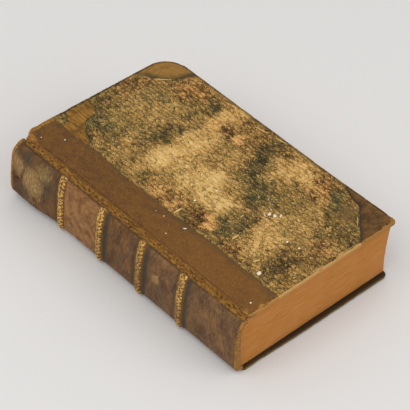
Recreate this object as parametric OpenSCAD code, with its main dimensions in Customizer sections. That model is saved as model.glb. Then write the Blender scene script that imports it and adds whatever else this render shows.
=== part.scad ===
// Antique octavo in half leather: five leather spine panels between four raised
// bands, leather joints and corners, marbled paper sides, and worn edges.
// The book lies on its back cover. X runs from the joint to the fore-edge, Y from
// tail to head, and Z from the back cover to the front cover, in millimetres.
// The origin is at the middle of the underside of the whole book's box.

/* [Boards] */
// Height of the boards, from tail to head
board_h = 215; // [160:1:260]
// Width of the boards, from the joint to the fore-edge
board_w = 130; // [100:1:180]
// Thickness of the bare pasteboard
board_t = 1.9; // [1.2:0.1:3.5]
// Radius of the front board's sharp corner at the tail
front_tail_fore_r = 2; // [1:0.5:10]
// Radius of the front board's worn corner at the head
front_head_fore_r = 18; // [2:0.5:24]
// Radius of the front board's rubbed corner at the head of the joint
front_head_joint_r = 8; // [1:0.5:12]
// Radius of the back board's corners at the fore-edge
back_fore_r = 3; // [1:0.5:12]
// Radius of both boards' tail corners at the joint, and of the back one's at the head
joint_corner_r = 1.5; // [1:0.5:6]

/* [Text block] */
// Thickness of the sewn leaves, without the flyleaves
leaves_t = 44.3; // [25:0.1:60]
// Thickness of a flyleaf
flyleaf_t = 0.2; // [0.1:0.05:0.5]
// How far the boards stand out past the leaves at head and tail
square_end = 2.5; // [1.8:0.1:4]
// How far the boards stand out past the leaves at the fore-edge
square_fore = 2; // [1:0.1:5]
// Depth of the hollow in the fore-edge of the leaves
fore_hollow = 1.5; // [0.5:0.1:4]
// Radius of the bumped corner of the leaves, at the head of the fore-edge
leaf_corner_r = 13; // [1:0.5:20]

/* [Coverings] */
// Thickness of the pared leather on the boards
leather_t = 0.4; // [0.3:0.05:0.8]
// Thickness of the marbled paper
paper_t = 0.25; // [0.1:0.05:0.3]
// Thickness of the pastedown where it lies over the turned-in leather
pastedown_t = 0.2; // [0.1:0.05:0.4]
// Width of the coverings turned in over the inside of a board
turn_in = 12; // [6:0.5:20]
// Margin of a board left uncovered by its pastedown
pastedown_margin = 2.5; // [1.5:0.1:5]
// Width of the leather on the front board at the head
front_side_head = 24; // [12:0.1:40]
// Width of the leather on the front board at the tail
front_side_tail = 24.8; // [12:0.1:40]
// Width of the leather on the back board
back_side = 25; // [12:0.5:40]
// Reach of the front head corner along the head edge
head_corner_x = 33; // [20:0.5:42]
// Reach of the front head corner along the fore-edge
head_corner_y = 29; // [20:0.5:50]
// Reach of the front tail corner along the tail edge
tail_corner_x = 31; // [20:0.5:42]
// Reach of the front tail corner along the fore-edge
tail_corner_y = 44; // [20:0.5:60]
// Reach of the back corners along both edges
back_corner = 32; // [20:0.5:42]
// How far down from the head the front paper is torn away, beside the leather
tear_l = 36; // [10:0.5:50]
// How far the torn place reaches from the leather along the head
tear_w = 30; // [10:0.5:35]
// Width of the paper that is left along the head edge above it
tear_rim = 1.8; // [1:0.1:4]

/* [Spine] */
// How far the rounded spine stands out from the joint
spine_bulge = 8.8; // [8:0.1:16]
// Radius of the spine's round
spine_r = 60; // [40:1:90]
// Radius of the leather over a shoulder
shoulder_r = 6; // [5.5:0.1:8]
// How far the shoulder lies below the board's outer face
shoulder_drop = 3.7; // [3.4:0.1:6]
// How far the shoulders stand out from the round of the spine
shoulder_lift = 0.1; // [0.06:0.01:0.2]
// Gap between the boards and the leather of the spine, where the joint bends
joint_gap = 0.4; // [0.3:0.05:1]
// Thickness of the spine leather
spine_leather_t = 0.9; // [0.6:0.05:1.4]
// Thickness of the lining between the bands
lining_t = 0.5; // [0.3:0.05:1]
// Thickness of the glue under the leather and under the lining
glue_t = 0.1; // [0.08:0.01:0.15]
// How far the leaves fold in from the joint before they rise to the board
text_shoulder_gap = 0.2; // [0:0.1:1]
// Depth of the leather cap turned in over each end of the spine
cap_depth = 4.6; // [3:0.1:5]

/* [Raised bands] */
// Number of raised bands
band_count = 4; // [3:1:6]
// Distance between neighbouring bands
band_pitch = 38.2; // [20:0.1:45]
// How far the set of bands sits toward the head
band_shift = 2.3; // [-5:0.1:5]
// Height of a band above the spine
band_rise = 1.1; // [0.6:0.1:1.5]
// Radius of the leather moulded over a band
band_r = 3.75; // [3:0.05:6]
// Clearance between a sewing cord and the lining
cord_clear = 0.1; // [0.05:0.05:0.5]
// Length of a cord's frayed end in the board
slip_l = 15; // [8:0.5:18]
// Width of that end where it enters the board
slip_w = 3; // [2:0.5:6]
// Width of that end where it is fanned out
slip_fan_w = 8; // [3:0.5:14]
// Thickness of that end
slip_t = 0.5; // [0.2:0.05:1]

/* [Title label] */
// Which space between two bands holds the label, counted from the tail
label_space = 3; // [1:1:3]
// Thickness of the label leather
label_t = 0.25; // [0.1:0.05:0.4]
// Distance between the label and the bands beside it
label_gap = 0.6; // [0.2:0.1:3]
// Angle left bare at each side of the label
label_side_angle = 1; // [0.5:0.5:8]

/* [Hidden] */

$fn = 96;
CORNER_STEPS = 12;  // straight steps round each corner of a board
PAST = 1;           // how far a cutting shape runs past what it cuts
SHOULDER_LAP = 15;  // angle by which a shoulder's arc runs on under the round
BEAD_CUT = 0.5;     // share of a bead's radius from its centre to the ends of the leaves

// Heights of the layers of one cover, from its pastedown outward
core_z = leather_t + pastedown_t;
cover_t = core_z + board_t + leather_t;

// Heights of the whole book
text_z = cover_t + flyleaf_t;
text_top = text_z + leaves_t;
book_t = text_top + flyleaf_t + cover_t;
mid_z = book_t / 2;

// The round of the spine: one large arc between two small ones over the shoulders.
// An arc is the x and z of its centre, its radius, and its first and last angle.
round_x = spine_r - spine_bulge;
shoulder_z = book_t - shoulder_drop - shoulder_r;
centres_apart = spine_r - shoulder_r + shoulder_lift;
shoulder_x = round_x - sqrt(pow(centres_apart, 2) - pow(shoulder_z - mid_z, 2));
round_angle = atan2(shoulder_z - mid_z, round_x - shoulder_x);
joint_angle = acos((-joint_gap - shoulder_x) / (shoulder_r + band_rise));
ROUND_ARC = [round_x, mid_z, spine_r, 180 - round_angle, 180 + round_angle];
SPINE_ARCS = [
  [shoulder_x, shoulder_z, shoulder_r, joint_angle, 180 - round_angle + SHOULDER_LAP],
  ROUND_ARC,
  [shoulder_x, book_t - shoulder_z, shoulder_r, 180 + round_angle - SHOULDER_LAP, 360 - joint_angle]
];

// The leaves
lining_inset = spine_leather_t + glue_t;
text_inset = lining_inset + lining_t + glue_t;
text_fore = board_w - square_fore;
fore_r = (pow(leaves_t / 2, 2) + pow(fore_hollow, 2)) / (2 * fore_hollow);

// The bands
function band_y(i) = board_h / 2 + band_shift + (i - (band_count - 1) / 2) * band_pitch;
BANDS = [for (i = [0:band_count - 1]) band_y(i)];
cord_r = band_r - spine_leather_t - glue_t;
cord_inset = text_inset - glue_t;
cord_half_w = sqrt(pow(cord_r, 2) - pow(band_r - band_rise - cord_inset, 2));
band_half_w = sqrt(pow(band_r, 2) - pow(band_r - band_rise, 2));

// Radii of the corners: tail joint, tail fore-edge, head fore-edge, head joint
FRONT_R = [joint_corner_r, front_tail_fore_r, front_head_fore_r, front_head_joint_r];
BACK_R = [joint_corner_r, back_fore_r, back_fore_r, joint_corner_r];
// Reach of the leather corners: tail x and y, head x and y
FRONT_REACH = [tail_corner_x, tail_corner_y, head_corner_x, head_corner_y];
BACK_REACH = [back_corner, back_corner, back_corner, back_corner];
// Width of the leather beside the joint, at tail and head
FRONT_SIDE = [front_side_tail, front_side_head];
BACK_SIDE = [back_side, back_side];

// Puts the origin under the middle of the whole book
module in_place() {
  translate([(spine_bulge + band_rise - board_w) / 2, -board_h / 2, 0]) children();
}

// A cover is drawn with its pastedown on z = 0 and its outer face upward
module at_front() {
  in_place() translate([0, 0, book_t - cover_t]) children();
}

module at_back() {
  in_place() translate([0, 0, cover_t]) mirror([0, 0, 1]) children();
}

// Corner points of one quarter turn, about the centre c
function quarter(c, r, from) = [
  for (i = [0:CORNER_STEPS]) c + r * [cos(from + 90 * i / CORNER_STEPS), sin(from + 90 * i / CORNER_STEPS)]
];

// Outline of the pasteboard with its corners rounded, grown by g on every side
function board_points(radii, g) =
  let (
    x0 = leather_t, x1 = board_w - leather_t,
    y0 = leather_t, y1 = board_h - leather_t
  )
  concat(
    quarter([x0 + radii[0], y0 + radii[0]], radii[0] + g, 180),
    quarter([x1 - radii[1], y0 + radii[1]], radii[1] + g, 270),
    quarter([x1 - radii[2], y1 - radii[2]], radii[2] + g, 0),
    quarter([x0 + radii[3], y1 - radii[3]], radii[3] + g, 90)
  );

module board_prism(radii, g, z, h) {
  translate([0, 0, z]) linear_extrude(h) polygon(board_points(radii, g));
}

module prism(z = -PAST, h = cover_t + 2 * PAST) {
  translate([0, 0, z]) linear_extrude(h) children();
}

// The skin of a cover: outer face, edges and turned-in border, t thick
module cover_skin(radii, t) {
  difference() {
    board_prism(radii, t, core_z - t, board_t + 2 * t);
    board_prism(radii, 0, core_z, board_t);
    prism(-PAST, core_z + PAST)
      translate([-PAST, turn_in]) square([board_w - turn_in + PAST, board_h - 2 * turn_in]);
  }
}

module side_area(widths) {
  polygon([
    [-PAST, -PAST], [widths[0], -PAST], [widths[1], board_h + PAST], [-PAST, board_h + PAST]
  ]);
}

module tail_corner_area(reach) {
  polygon([
    [board_w - reach[0], 0], [board_w - reach[0], -PAST], [board_w + PAST, -PAST],
    [board_w + PAST, reach[1]], [board_w, reach[1]]
  ]);
}

module head_corner_area(reach) {
  polygon([
    [board_w, board_h - reach[3]], [board_w + PAST, board_h - reach[3]],
    [board_w + PAST, board_h + PAST], [board_w - reach[2], board_h + PAST],
    [board_w - reach[2], board_h]
  ]);
}

// The torn place runs slanting from the head edge to a point beside the leather. A
// scrap of paper is left between it and the leather at the head.
module tear_area() {
  translate([front_side_head, board_h])
    polygon([
      [-PAST, -tear_l * 0.32],
      [tear_w * 0.2, -tear_l * 0.28],
      [tear_w * 0.35, -tear_rim],
      [tear_w, -tear_rim],
      [tear_w * 0.88, -tear_l * 0.39],
      [tear_w * 0.5, -tear_l * 0.45],
      [tear_w * 0.38, -tear_l * 0.63],
      [tear_w * 0.08, -tear_l],
      [-PAST, -tear_l * 0.97]
    ]);
}

module slips() {
  for (y = BANDS)
    translate([leather_t, y, core_z + board_t - slip_t])
      linear_extrude(slip_t)
        polygon([[0, -slip_w / 2], [slip_l, -slip_fan_w / 2], [slip_l, slip_fan_w / 2], [0, slip_w / 2]]);
}

module board(radii) {
  difference() {
    board_prism(radii, 0, core_z, board_t);
    slips();
  }
}

module leather_side(radii, widths) {
  intersection() {
    cover_skin(radii, leather_t);
    prism() side_area(widths);
  }
}

module tail_corner(radii, reach) {
  intersection() {
    cover_skin(radii, leather_t);
    prism() tail_corner_area(reach);
  }
}

module head_corner(radii, reach) {
  intersection() {
    cover_skin(radii, leather_t);
    prism() head_corner_area(reach);
  }
}

module marbled_paper(radii, widths, reach) {
  difference() {
    cover_skin(radii, paper_t);
    prism() side_area(widths);
    prism() tail_corner_area(reach);
    prism() head_corner_area(reach);
  }
}

// Fills the inside of a board up to its turned-in border, and lies over that border
module pastedown(radii, widths, reach) {
  difference() {
    intersection() {
      board_prism(radii, 0, 0, core_z);
      prism(0, core_z)
        translate([0, pastedown_margin])
          square([board_w - pastedown_margin, board_h - 2 * pastedown_margin]);
    }
    cover_skin(radii, paper_t);
    leather_side(radii, widths);
    tail_corner(radii, reach);
    head_corner(radii, reach);
  }
}

// Sweeps a section round the spine. The section's x is its distance out from the
// leather's outer face, and its y is the height on the book.
module spine_sweep(arcs = SPINE_ARCS) {
  for (a = arcs)
    translate([a[0], 0, a[1]])
      rotate([-90, 0, 0])
        rotate([0, 0, -a[4]])
          rotate_extrude(angle = a[4] - a[3])
            translate([a[2], 0]) children();
}

// Outline of the backs of the leaves, inset from the outer face of the spine
module back_outline(inset) {
  main_half = (spine_r - inset) * sin(round_angle);
  small_r = shoulder_r - inset;
  intersection() {
    translate([round_x, mid_z]) circle(spine_r - inset, $fn = 360);
    translate([-spine_bulge, mid_z - main_half])
      square([spine_bulge + shoulder_x + small_r, 2 * main_half]);
  }
  for (z = [shoulder_z, book_t - shoulder_z])
    translate([shoulder_x, z]) circle(small_r);
  translate([shoulder_x, book_t - shoulder_z - small_r])
    square([text_fore - shoulder_x, 2 * (shoulder_z - mid_z + small_r)]);
}

// Turns a drawing of the book's end, in x and z, into a solid between two heights
module from_tail(y, h) {
  translate([0, y + h, 0]) rotate([90, 0, 0]) linear_extrude(h) children();
}

// One leaf, from the joint to the fore-edge, with the bumped corner at the head
module leaf_area(x) {
  top = board_h - square_end;
  polygon(concat(
    [[x, square_end], [text_fore, square_end]],
    quarter([text_fore - leaf_corner_r, top - leaf_corner_r], leaf_corner_r, 0),
    [[x, top]]
  ));
}

module text_block() {
  color("#b27c46")
  in_place()
  intersection() {
    from_tail(square_end, board_h - 2 * square_end)
    difference() {
      union() {
        back_outline(text_inset);
        translate([text_shoulder_gap, text_z]) square([text_fore - text_shoulder_gap, leaves_t]);
      }
      translate([text_fore - fore_hollow + fore_r, mid_z]) circle(fore_r, $fn = 360);
    }
    prism(0, book_t) leaf_area(-spine_bulge);
  }
}

module flyleaf(z) {
  in_place() prism(z, flyleaf_t) leaf_area(text_shoulder_gap);
}

module front_flyleaf() {
  color("#cfae7b") flyleaf(text_top);
}

module back_flyleaf() {
  color("#cfae7b") flyleaf(text_z - flyleaf_t);
}

// The lining is a strip of paper in each space between the bands, up to the shoulders
module spine_lining() {
  stops = concat([square_end], BANDS, [board_h - square_end]);
  color("#c9b48a")
  in_place()
  for (i = [0:band_count]) {
    low = stops[i] + (i == 0 ? 0 : cord_half_w + cord_clear);
    high = stops[i + 1] - (i == band_count ? 0 : cord_half_w + cord_clear);
    spine_sweep([ROUND_ARC])
      translate([-lining_inset - lining_t, low]) square([lining_t, high - low]);
  }
}

// A double cord laid flat across the backs of the leaves
module sewing_cord(i) {
  color("#a8925f")
  in_place()
  spine_sweep()
  difference() {
    translate([band_rise - band_r, band_y(i)]) circle(cord_r);
    translate([-cord_inset - 2 * band_r, band_y(i) - band_r]) square(2 * band_r);
  }
}

// A bead on the ends of the leaves, under the cap, from one shoulder to the other
module endband_section() {
  bead_r = (square_end - spine_leather_t - glue_t) / (1 + BEAD_CUT);
  bead_x = -lining_inset - bead_r;
  difference() {
    translate([bead_x, square_end - BEAD_CUT * bead_r]) circle(bead_r);
    translate([bead_x - 2 * bead_r, square_end]) square([4 * bead_r, 2 * bead_r]);
  }
}

module tail_endband() {
  color("#b8a070") in_place() spine_sweep([ROUND_ARC]) endband_section();
}

module head_endband() {
  color("#b8a070")
  in_place()
  spine_sweep([ROUND_ARC]) translate([0, board_h]) mirror([0, 1]) endband_section();
}

// The turned-in cap at the tail end of the spine leather
module cap_section() {
  translate([-cap_depth, 0]) square([cap_depth - spine_leather_t, spine_leather_t]);
  intersection() {
    translate([-spine_leather_t, spine_leather_t]) circle(spine_leather_t);
    translate([-spine_leather_t, 0]) square(spine_leather_t);
  }
}

// One piece of leather: caps, panels, and bands moulded over the cords
module spine_leather() {
  color("#5b4329")
  in_place()
  spine_sweep()
  difference() {
    union() {
      translate([-spine_leather_t, spine_leather_t])
        square([spine_leather_t, board_h - 2 * spine_leather_t]);
      cap_section();
      translate([0, board_h]) mirror([0, 1]) cap_section();
      for (y = BANDS)
        intersection() {
          translate([band_rise - band_r, y]) circle(band_r);
          translate([-spine_leather_t / 2, y - band_r])
            square([spine_leather_t / 2 + band_rise, 2 * band_r]);
        }
    }
    for (y = BANDS)
      translate([band_rise - band_r, y]) circle(cord_r + glue_t);
  }
}

module title_label() {
  low = BANDS[label_space - 1] + band_half_w + label_gap;
  high = BANDS[label_space] - band_half_w - label_gap;
  arc = ROUND_ARC + label_side_angle * [0, 0, 0, 1, -1];
  color("#6b3426")
  in_place()
  spine_sweep([arc]) translate([0, low]) square([label_t, high - low]);
}

module sewing_cord_1() {
  sewing_cord(0);
}

module sewing_cord_2() {
  sewing_cord(1);
}

module sewing_cord_3() {
  sewing_cord(2);
}

// The last band, with any that are added beyond four
module sewing_cord_4() {
  for (i = [3:band_count - 1]) sewing_cord(i);
}

module front_board() {
  color("#9a8155") at_front() board(FRONT_R);
}

module front_cord_slips() {
  color("#a8925f") at_front() slips();
}

module front_pastedown() {
  color("#cfae7b") at_front() pastedown(FRONT_R, FRONT_SIDE, FRONT_REACH);
}

module front_marbled_paper() {
  color("#8a7346")
  at_front()
  difference() {
    marbled_paper(FRONT_R, FRONT_SIDE, FRONT_REACH);
    prism(core_z + board_t, leather_t + PAST) tear_area();
  }
}

module front_leather_side() {
  color("#5f4428") at_front() leather_side(FRONT_R, FRONT_SIDE);
}

module front_head_corner() {
  color("#7a5a30") at_front() head_corner(FRONT_R, FRONT_REACH);
}

module front_tail_corner() {
  color("#4a3b2b") at_front() tail_corner(FRONT_R, FRONT_REACH);
}

module back_board() {
  color("#9a8155") at_back() board(BACK_R);
}

module back_cord_slips() {
  color("#a8925f") at_back() slips();
}

module back_pastedown() {
  color("#cfae7b") at_back() pastedown(BACK_R, BACK_SIDE, BACK_REACH);
}

module back_marbled_paper() {
  color("#8a7346") at_back() marbled_paper(BACK_R, BACK_SIDE, BACK_REACH);
}

module back_leather_side() {
  color("#5f4428") at_back() leather_side(BACK_R, BACK_SIDE);
}

module back_head_corner() {
  color("#4a3b2b") at_back() head_corner(BACK_R, BACK_REACH);
}

module back_tail_corner() {
  color("#4a3b2b") at_back() tail_corner(BACK_R, BACK_REACH);
}

text_block();
front_flyleaf();
back_flyleaf();
spine_lining();
sewing_cord_1();
sewing_cord_2();
sewing_cord_3();
sewing_cord_4();
head_endband();
tail_endband();
spine_leather();
title_label();
front_board();
front_cord_slips();
front_pastedown();
front_marbled_paper();
front_leather_side();
front_head_corner();
front_tail_corner();
back_board();
back_cord_slips();
back_pastedown();
back_marbled_paper();
back_leather_side();
back_head_corner();
back_tail_corner();
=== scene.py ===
"""An antique octavo in half leather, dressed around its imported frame.

Places on the book are in millimetres: x from the joint to the fore-edge, y from tail
to head, and z up from the table. Colours are written as the surface should look.
"""
import itertools
import math

import bpy
import numpy as np
from mathutils import Matrix, Vector
from mathutils.geometry import delaunay_2d_cdt
from mathutils.kdtree import KDTree


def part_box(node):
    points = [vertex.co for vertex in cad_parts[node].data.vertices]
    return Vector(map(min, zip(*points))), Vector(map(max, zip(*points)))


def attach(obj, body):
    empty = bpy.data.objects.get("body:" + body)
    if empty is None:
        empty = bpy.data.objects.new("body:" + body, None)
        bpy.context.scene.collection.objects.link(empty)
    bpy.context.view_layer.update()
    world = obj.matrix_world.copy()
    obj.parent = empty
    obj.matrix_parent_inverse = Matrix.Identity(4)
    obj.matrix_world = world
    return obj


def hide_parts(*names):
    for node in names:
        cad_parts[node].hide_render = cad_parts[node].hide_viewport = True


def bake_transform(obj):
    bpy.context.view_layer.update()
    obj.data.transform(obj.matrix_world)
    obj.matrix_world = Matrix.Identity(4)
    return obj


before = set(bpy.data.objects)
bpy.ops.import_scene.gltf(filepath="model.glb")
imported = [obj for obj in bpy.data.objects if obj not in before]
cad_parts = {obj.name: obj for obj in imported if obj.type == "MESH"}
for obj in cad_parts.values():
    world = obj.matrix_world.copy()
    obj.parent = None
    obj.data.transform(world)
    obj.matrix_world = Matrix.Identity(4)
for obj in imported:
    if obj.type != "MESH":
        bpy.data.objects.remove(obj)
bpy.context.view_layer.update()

MM = 0.001

# The book's own sizes, from the frame
side_low, side_high = (np.array(corner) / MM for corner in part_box("front_leather_side"))
text_low, text_high = (np.array(corner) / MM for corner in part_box("text_block"))
inside_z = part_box("front_pastedown")[0][2] / MM
JOINT_X, TAIL_Y = side_low[:2]
BOARD_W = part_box("front_tail_corner")[1][0] / MM - JOINT_X
BOARD_H = side_high[1] - TAIL_Y
BOOK_T = side_high[2]
PASTEDOWN_T = side_low[2] - inside_z
COVER_T = BOOK_T - inside_z
TEXT_FORE = text_high[0] - JOINT_X
TEXT_TAIL = text_low[1] - TAIL_Y
TEXT_LOW, TEXT_TOP = text_low[2], text_high[2]

# The raised bands and the layers under the leather, as they are built
BAND_RISE = 1.1
BAND_R = 3.75
BAND_PITCH = 38.2
BAND_SHIFT = 2.3
BAND_COUNT = 4
SPINE_LEATHER_T = 0.9
GLUE_T = 0.1
LINING_T = 0.5
BANDS = [BOARD_H / 2 + BAND_SHIFT + (i - (BAND_COUNT - 1) / 2) * BAND_PITCH for i in range(BAND_COUNT)]

SEED = 11
NOISE_TABLE = np.random.default_rng(SEED).uniform(-1, 1, 4096)
HASH = np.array([73856093, 19349663, 83492791])


def noise(points, size, seed=0):
    """Smooth noise from -1 to 1 at the points, with features of about that size."""
    q = np.asarray(points, float) / size + 1000 + 31.7 * seed
    cell = np.floor(q).astype(np.int64)
    f = q - cell
    f = f * f * (3 - 2 * f)
    total = np.zeros(len(q))
    for corner in itertools.product((0, 1), repeat=q.shape[1]):
        step = np.array(corner)
        weight = np.prod(np.where(step, f, 1 - f), axis=1)
        total += weight * NOISE_TABLE[((cell + step) @ HASH[:q.shape[1]]) % len(NOISE_TABLE)]
    return total


def rough(points, size, octaves=3, seed=0):
    """Noise summed over finer and finer features."""
    return sum(noise(points, size / 2 ** k, seed + k) / 2 ** k for k in range(octaves))


def rough_along(places, size, octaves, seed):
    """Rough noise along one line."""
    return rough(table(places, places * 0), size, octaves, seed)


def waves(points, parts):
    """Noises added up. Each part is a height, a size and a seed."""
    return sum(height * noise(points, size, seed) for height, size, seed in parts)


def smooth(value, low, high):
    """0 below low, 1 above high, and a soft step between them."""
    t = np.clip((np.asarray(value, float) - low) / (high - low), 0, 1)
    return t * t * (3 - 2 * t)


def bell(value, middle, reach):
    return np.exp(-((np.asarray(value, float) - middle) / reach) ** 2)


# Lines and meshes

def table(*columns):
    return np.column_stack(columns)


def lengths(line):
    """The distance along a line to each of its points."""
    return np.concatenate([[0], np.cumsum(np.linalg.norm(np.diff(line, axis=0), axis=1))])


def resample(line, places):
    """The points of a line at these distances along it."""
    return table(*(np.interp(places, lengths(line), line[:, k]) for k in range(2)))


def leftward(line):
    """Unit vectors to the left of each point of a line."""
    slope = np.gradient(line, axis=0)
    left = table(-slope[:, 1], slope[:, 0])
    return left / np.linalg.norm(left, axis=1, keepdims=True)


def nearest(points, place):
    """The number of the point that is nearest to a place."""
    return int(np.argmin(np.linalg.norm(points - place, axis=1)))


def distances(points, line):
    """How far each point is from the nearest point of a line."""
    tree = KDTree(len(line))
    for k, (x, y) in enumerate(line):
        tree.insert((x, y, 0), k)
    tree.balance()
    return np.array([tree.find((x, y, 0))[2] for x, y in points])


def triangulate(points, border_count):
    """Fills a flat loop, the first border_count points, over the points inside it."""
    border = [(k, (k + 1) % border_count) for k in range(border_count)]
    return delaunay_2d_cdt([Vector(p) for p in np.asarray(points).tolist()], border, [], 1, 1e-7)


def lid(loop):
    """Triangles that close a loop, by the numbers of its points."""
    made = triangulate(loop, len(loop))
    source = np.array([originals[0] for originals in made[3]])
    return source[np.array(made[2])]


def vertex_normals(points, triangles):
    a, b, c = (points[triangles[:, k]] for k in range(3))
    face = np.cross(b - a, c - a)
    normals = np.zeros_like(points)
    for k in range(3):
        np.add.at(normals, triangles[:, k], face)
    return normals / np.maximum(np.linalg.norm(normals, axis=1, keepdims=True), 1e-12)


def weld(points, triangles, values):
    """Joins points that lie on each other, and drops triangles that have no area."""
    _, first, where = np.unique(np.round(points, 3), axis=0, return_index=True, return_inverse=True)
    triangles = where.reshape(-1)[triangles]
    whole = (triangles != np.roll(triangles, 1, axis=1)).all(axis=1)
    return points[first], triangles[whole], values[first]


def shell(points, triangles, values, thickness):
    """Gives an open sheet a back and edges. The sheet's normals point outward."""
    count = len(points)
    back = points - vertex_normals(points, triangles) * thickness
    edges = np.vstack([triangles[:, [0, 1]], triangles[:, [1, 2]], triangles[:, [2, 0]]])
    codes = edges[:, 0] * count + edges[:, 1]
    a, b = edges[~np.isin(codes, edges[:, 1] * count + edges[:, 0])].T
    walls = np.vstack([table(b, a, a + count), table(b, a + count, b + count)])
    both = np.vstack([triangles, triangles[:, ::-1] + count, walls])
    return np.vstack([points, back]), both, {name: np.concatenate([v, v]) for name, v in values.items()}


def grid_triangles(rows, columns, closed_rows=False):
    """Triangles over a grid of points stored row by row."""
    i, j = np.meshgrid(np.arange(rows if closed_rows else rows - 1), np.arange(columns - 1), indexing="ij")
    a = (i * columns + j).ravel()
    b = (((i + 1) % rows) * columns + j).ravel()
    return np.vstack([table(a, b, b + 1), table(a, b + 1, a + 1)])


def outward(points, triangles):
    """The triangles of a closed mesh, turned so that its volume is positive."""
    a, b, c = (points[triangles[:, k]] for k in range(3))
    return triangles if np.einsum("ij,ij->", a, np.cross(b, c)) > 0 else triangles[:, ::-1]


def make_piece(name, points, triangles, look, body, nodes, values=None, smooth_angle=None):
    """Turns arrays in book millimetres into a piece of the scene that stands for CAD nodes."""
    mesh = bpy.data.meshes.new(name)
    place = (np.asarray(points) + [JOINT_X, TAIL_Y, 0]) * MM
    mesh.from_pydata(place.tolist(), [], np.asarray(triangles).tolist())
    for label, data in (values or {}).items():
        data = np.asarray(data, np.float32)
        kind, field = ("FLOAT_VECTOR", "vector") if data.ndim == 2 else ("FLOAT", "value")
        mesh.attributes.new(label, kind, "POINT").data.foreach_set(field, data.ravel())
    mesh.shade_smooth()
    if smooth_angle:
        mesh.set_sharp_from_angle(angle=math.radians(smooth_angle))
    mesh.materials.append(look)
    mesh.update()
    piece = bpy.data.objects.new(name, mesh)
    bpy.context.scene.collection.objects.link(piece)
    if body:
        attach(piece, body)
    if nodes:
        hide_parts(*nodes)
    return piece


# Materials

def tint(code):
    """A colour written as it should look, in the linear values that shaders use."""
    parts = [int(code[k:k + 2], 16) / 255 for k in (1, 3, 5)]
    return tuple(c / 12.92 if c <= 0.04045 else ((c + 0.055) / 1.055) ** 2.4 for c in parts) + (1.0,)


class Look:
    """One procedural material. Its noises are in millimetres over a place, which is an
    attribute of the mesh or else the object's own, and its colour is painted in coats."""

    def __init__(self, name, place=None, specular=0.12):
        self.material = bpy.data.materials.new(name)
        self.material.use_nodes = True
        self.tree = self.material.node_tree
        self.tree.nodes.clear()
        self.shader = self.tree.nodes.new("ShaderNodeBsdfPrincipled")
        self.shader.inputs["Specular IOR Level"].default_value = specular
        output = self.tree.nodes.new("ShaderNodeOutputMaterial")
        self.tree.links.new(self.shader.outputs[0], output.inputs["Surface"])
        if place:
            self.place = self.node("ShaderNodeAttribute", {}, 1, attribute_name=place)
        else:
            metres = self.node("ShaderNodeTexCoord", {}, 3)
            self.place = self.node("ShaderNodeVectorMath", {0: metres, 3: 1 / MM}, operation="SCALE")

    def put(self, socket, value):
        if isinstance(value, bpy.types.NodeSocket):
            self.tree.links.new(value, socket)
        else:
            socket.default_value = tint(value) if isinstance(value, str) else value

    def node(self, kind, inputs, output=0, **settings):
        made = self.tree.nodes.new(kind)
        for key, value in settings.items():
            setattr(made, key, value)
        for key, value in inputs.items():
            self.put(made.inputs[key], value)
        return made.outputs[output]

    def value(self, name):
        return self.node("ShaderNodeAttribute", {}, 2, attribute_name=name)

    def split(self, vector, axis):
        return self.node("ShaderNodeSeparateXYZ", {0: vector}, axis)

    def math(self, operation, *inputs):
        return self.node("ShaderNodeMath", dict(enumerate(inputs)), operation=operation)

    def scaled(self, a, b, c=0.0):
        """a times b, plus c."""
        return self.math("MULTIPLY_ADD", a, b, c)

    def step(self, value, low, high, end=1.0, start=0.0):
        """A soft step from start, where the value is low, to end, where it is high."""
        inputs = {"Value": value, "From Min": low, "From Max": high, "To Min": start, "To Max": end}
        return self.node("ShaderNodeMapRange", inputs, interpolation_type="SMOOTHSTEP")

    def noise(self, size, detail=2, rough=0.5, scale=None, turn=0, at=None, output=0):
        at = at or self.place
        if scale:
            turned = {"Vector": at, "Scale": scale, "Rotation": (0, 0, math.radians(turn))}
            at = self.node("ShaderNodeMapping", turned)
        inputs = {"Vector": at, "Scale": 1 / size, "Detail": detail, "Roughness": rough}
        return self.node("ShaderNodeTexNoise", inputs, output)

    def spots(self, size, detail, rough, low, high, end=1.0, scale=None, turn=0):
        """Soft-edged spots of a noise."""
        return self.step(self.noise(size, detail, rough, scale, turn), low, high, end)

    def leather_grain(self, size=1.6, rough=0.6, share=0.8, cell=0.55):
        cells = self.node("ShaderNodeTexVoronoi", {"Vector": self.place, "Scale": 1 / cell})
        return self.scaled(self.noise(size, 4, rough), share, cells)

    def mix(self, share, a, b):
        return self.node("ShaderNodeMix", {0: share, 6: a, 7: b}, 2, data_type="RGBA")

    def paint(self, share, coat):
        self.colour = self.mix(share, self.colour, coat)

    def finish(self, roughness, height=None, depth=0.0, metal=0.0):
        if height:
            height = self.node("ShaderNodeBump", {"Height": height, "Distance": depth * MM, "Strength": 1.0})
            self.put(self.shader.inputs["Normal"], height)
        for name, value in (("Base Color", self.colour), ("Roughness", roughness), ("Metallic", metal)):
            self.put(self.shader.inputs[name], value)
        return self.material


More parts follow.
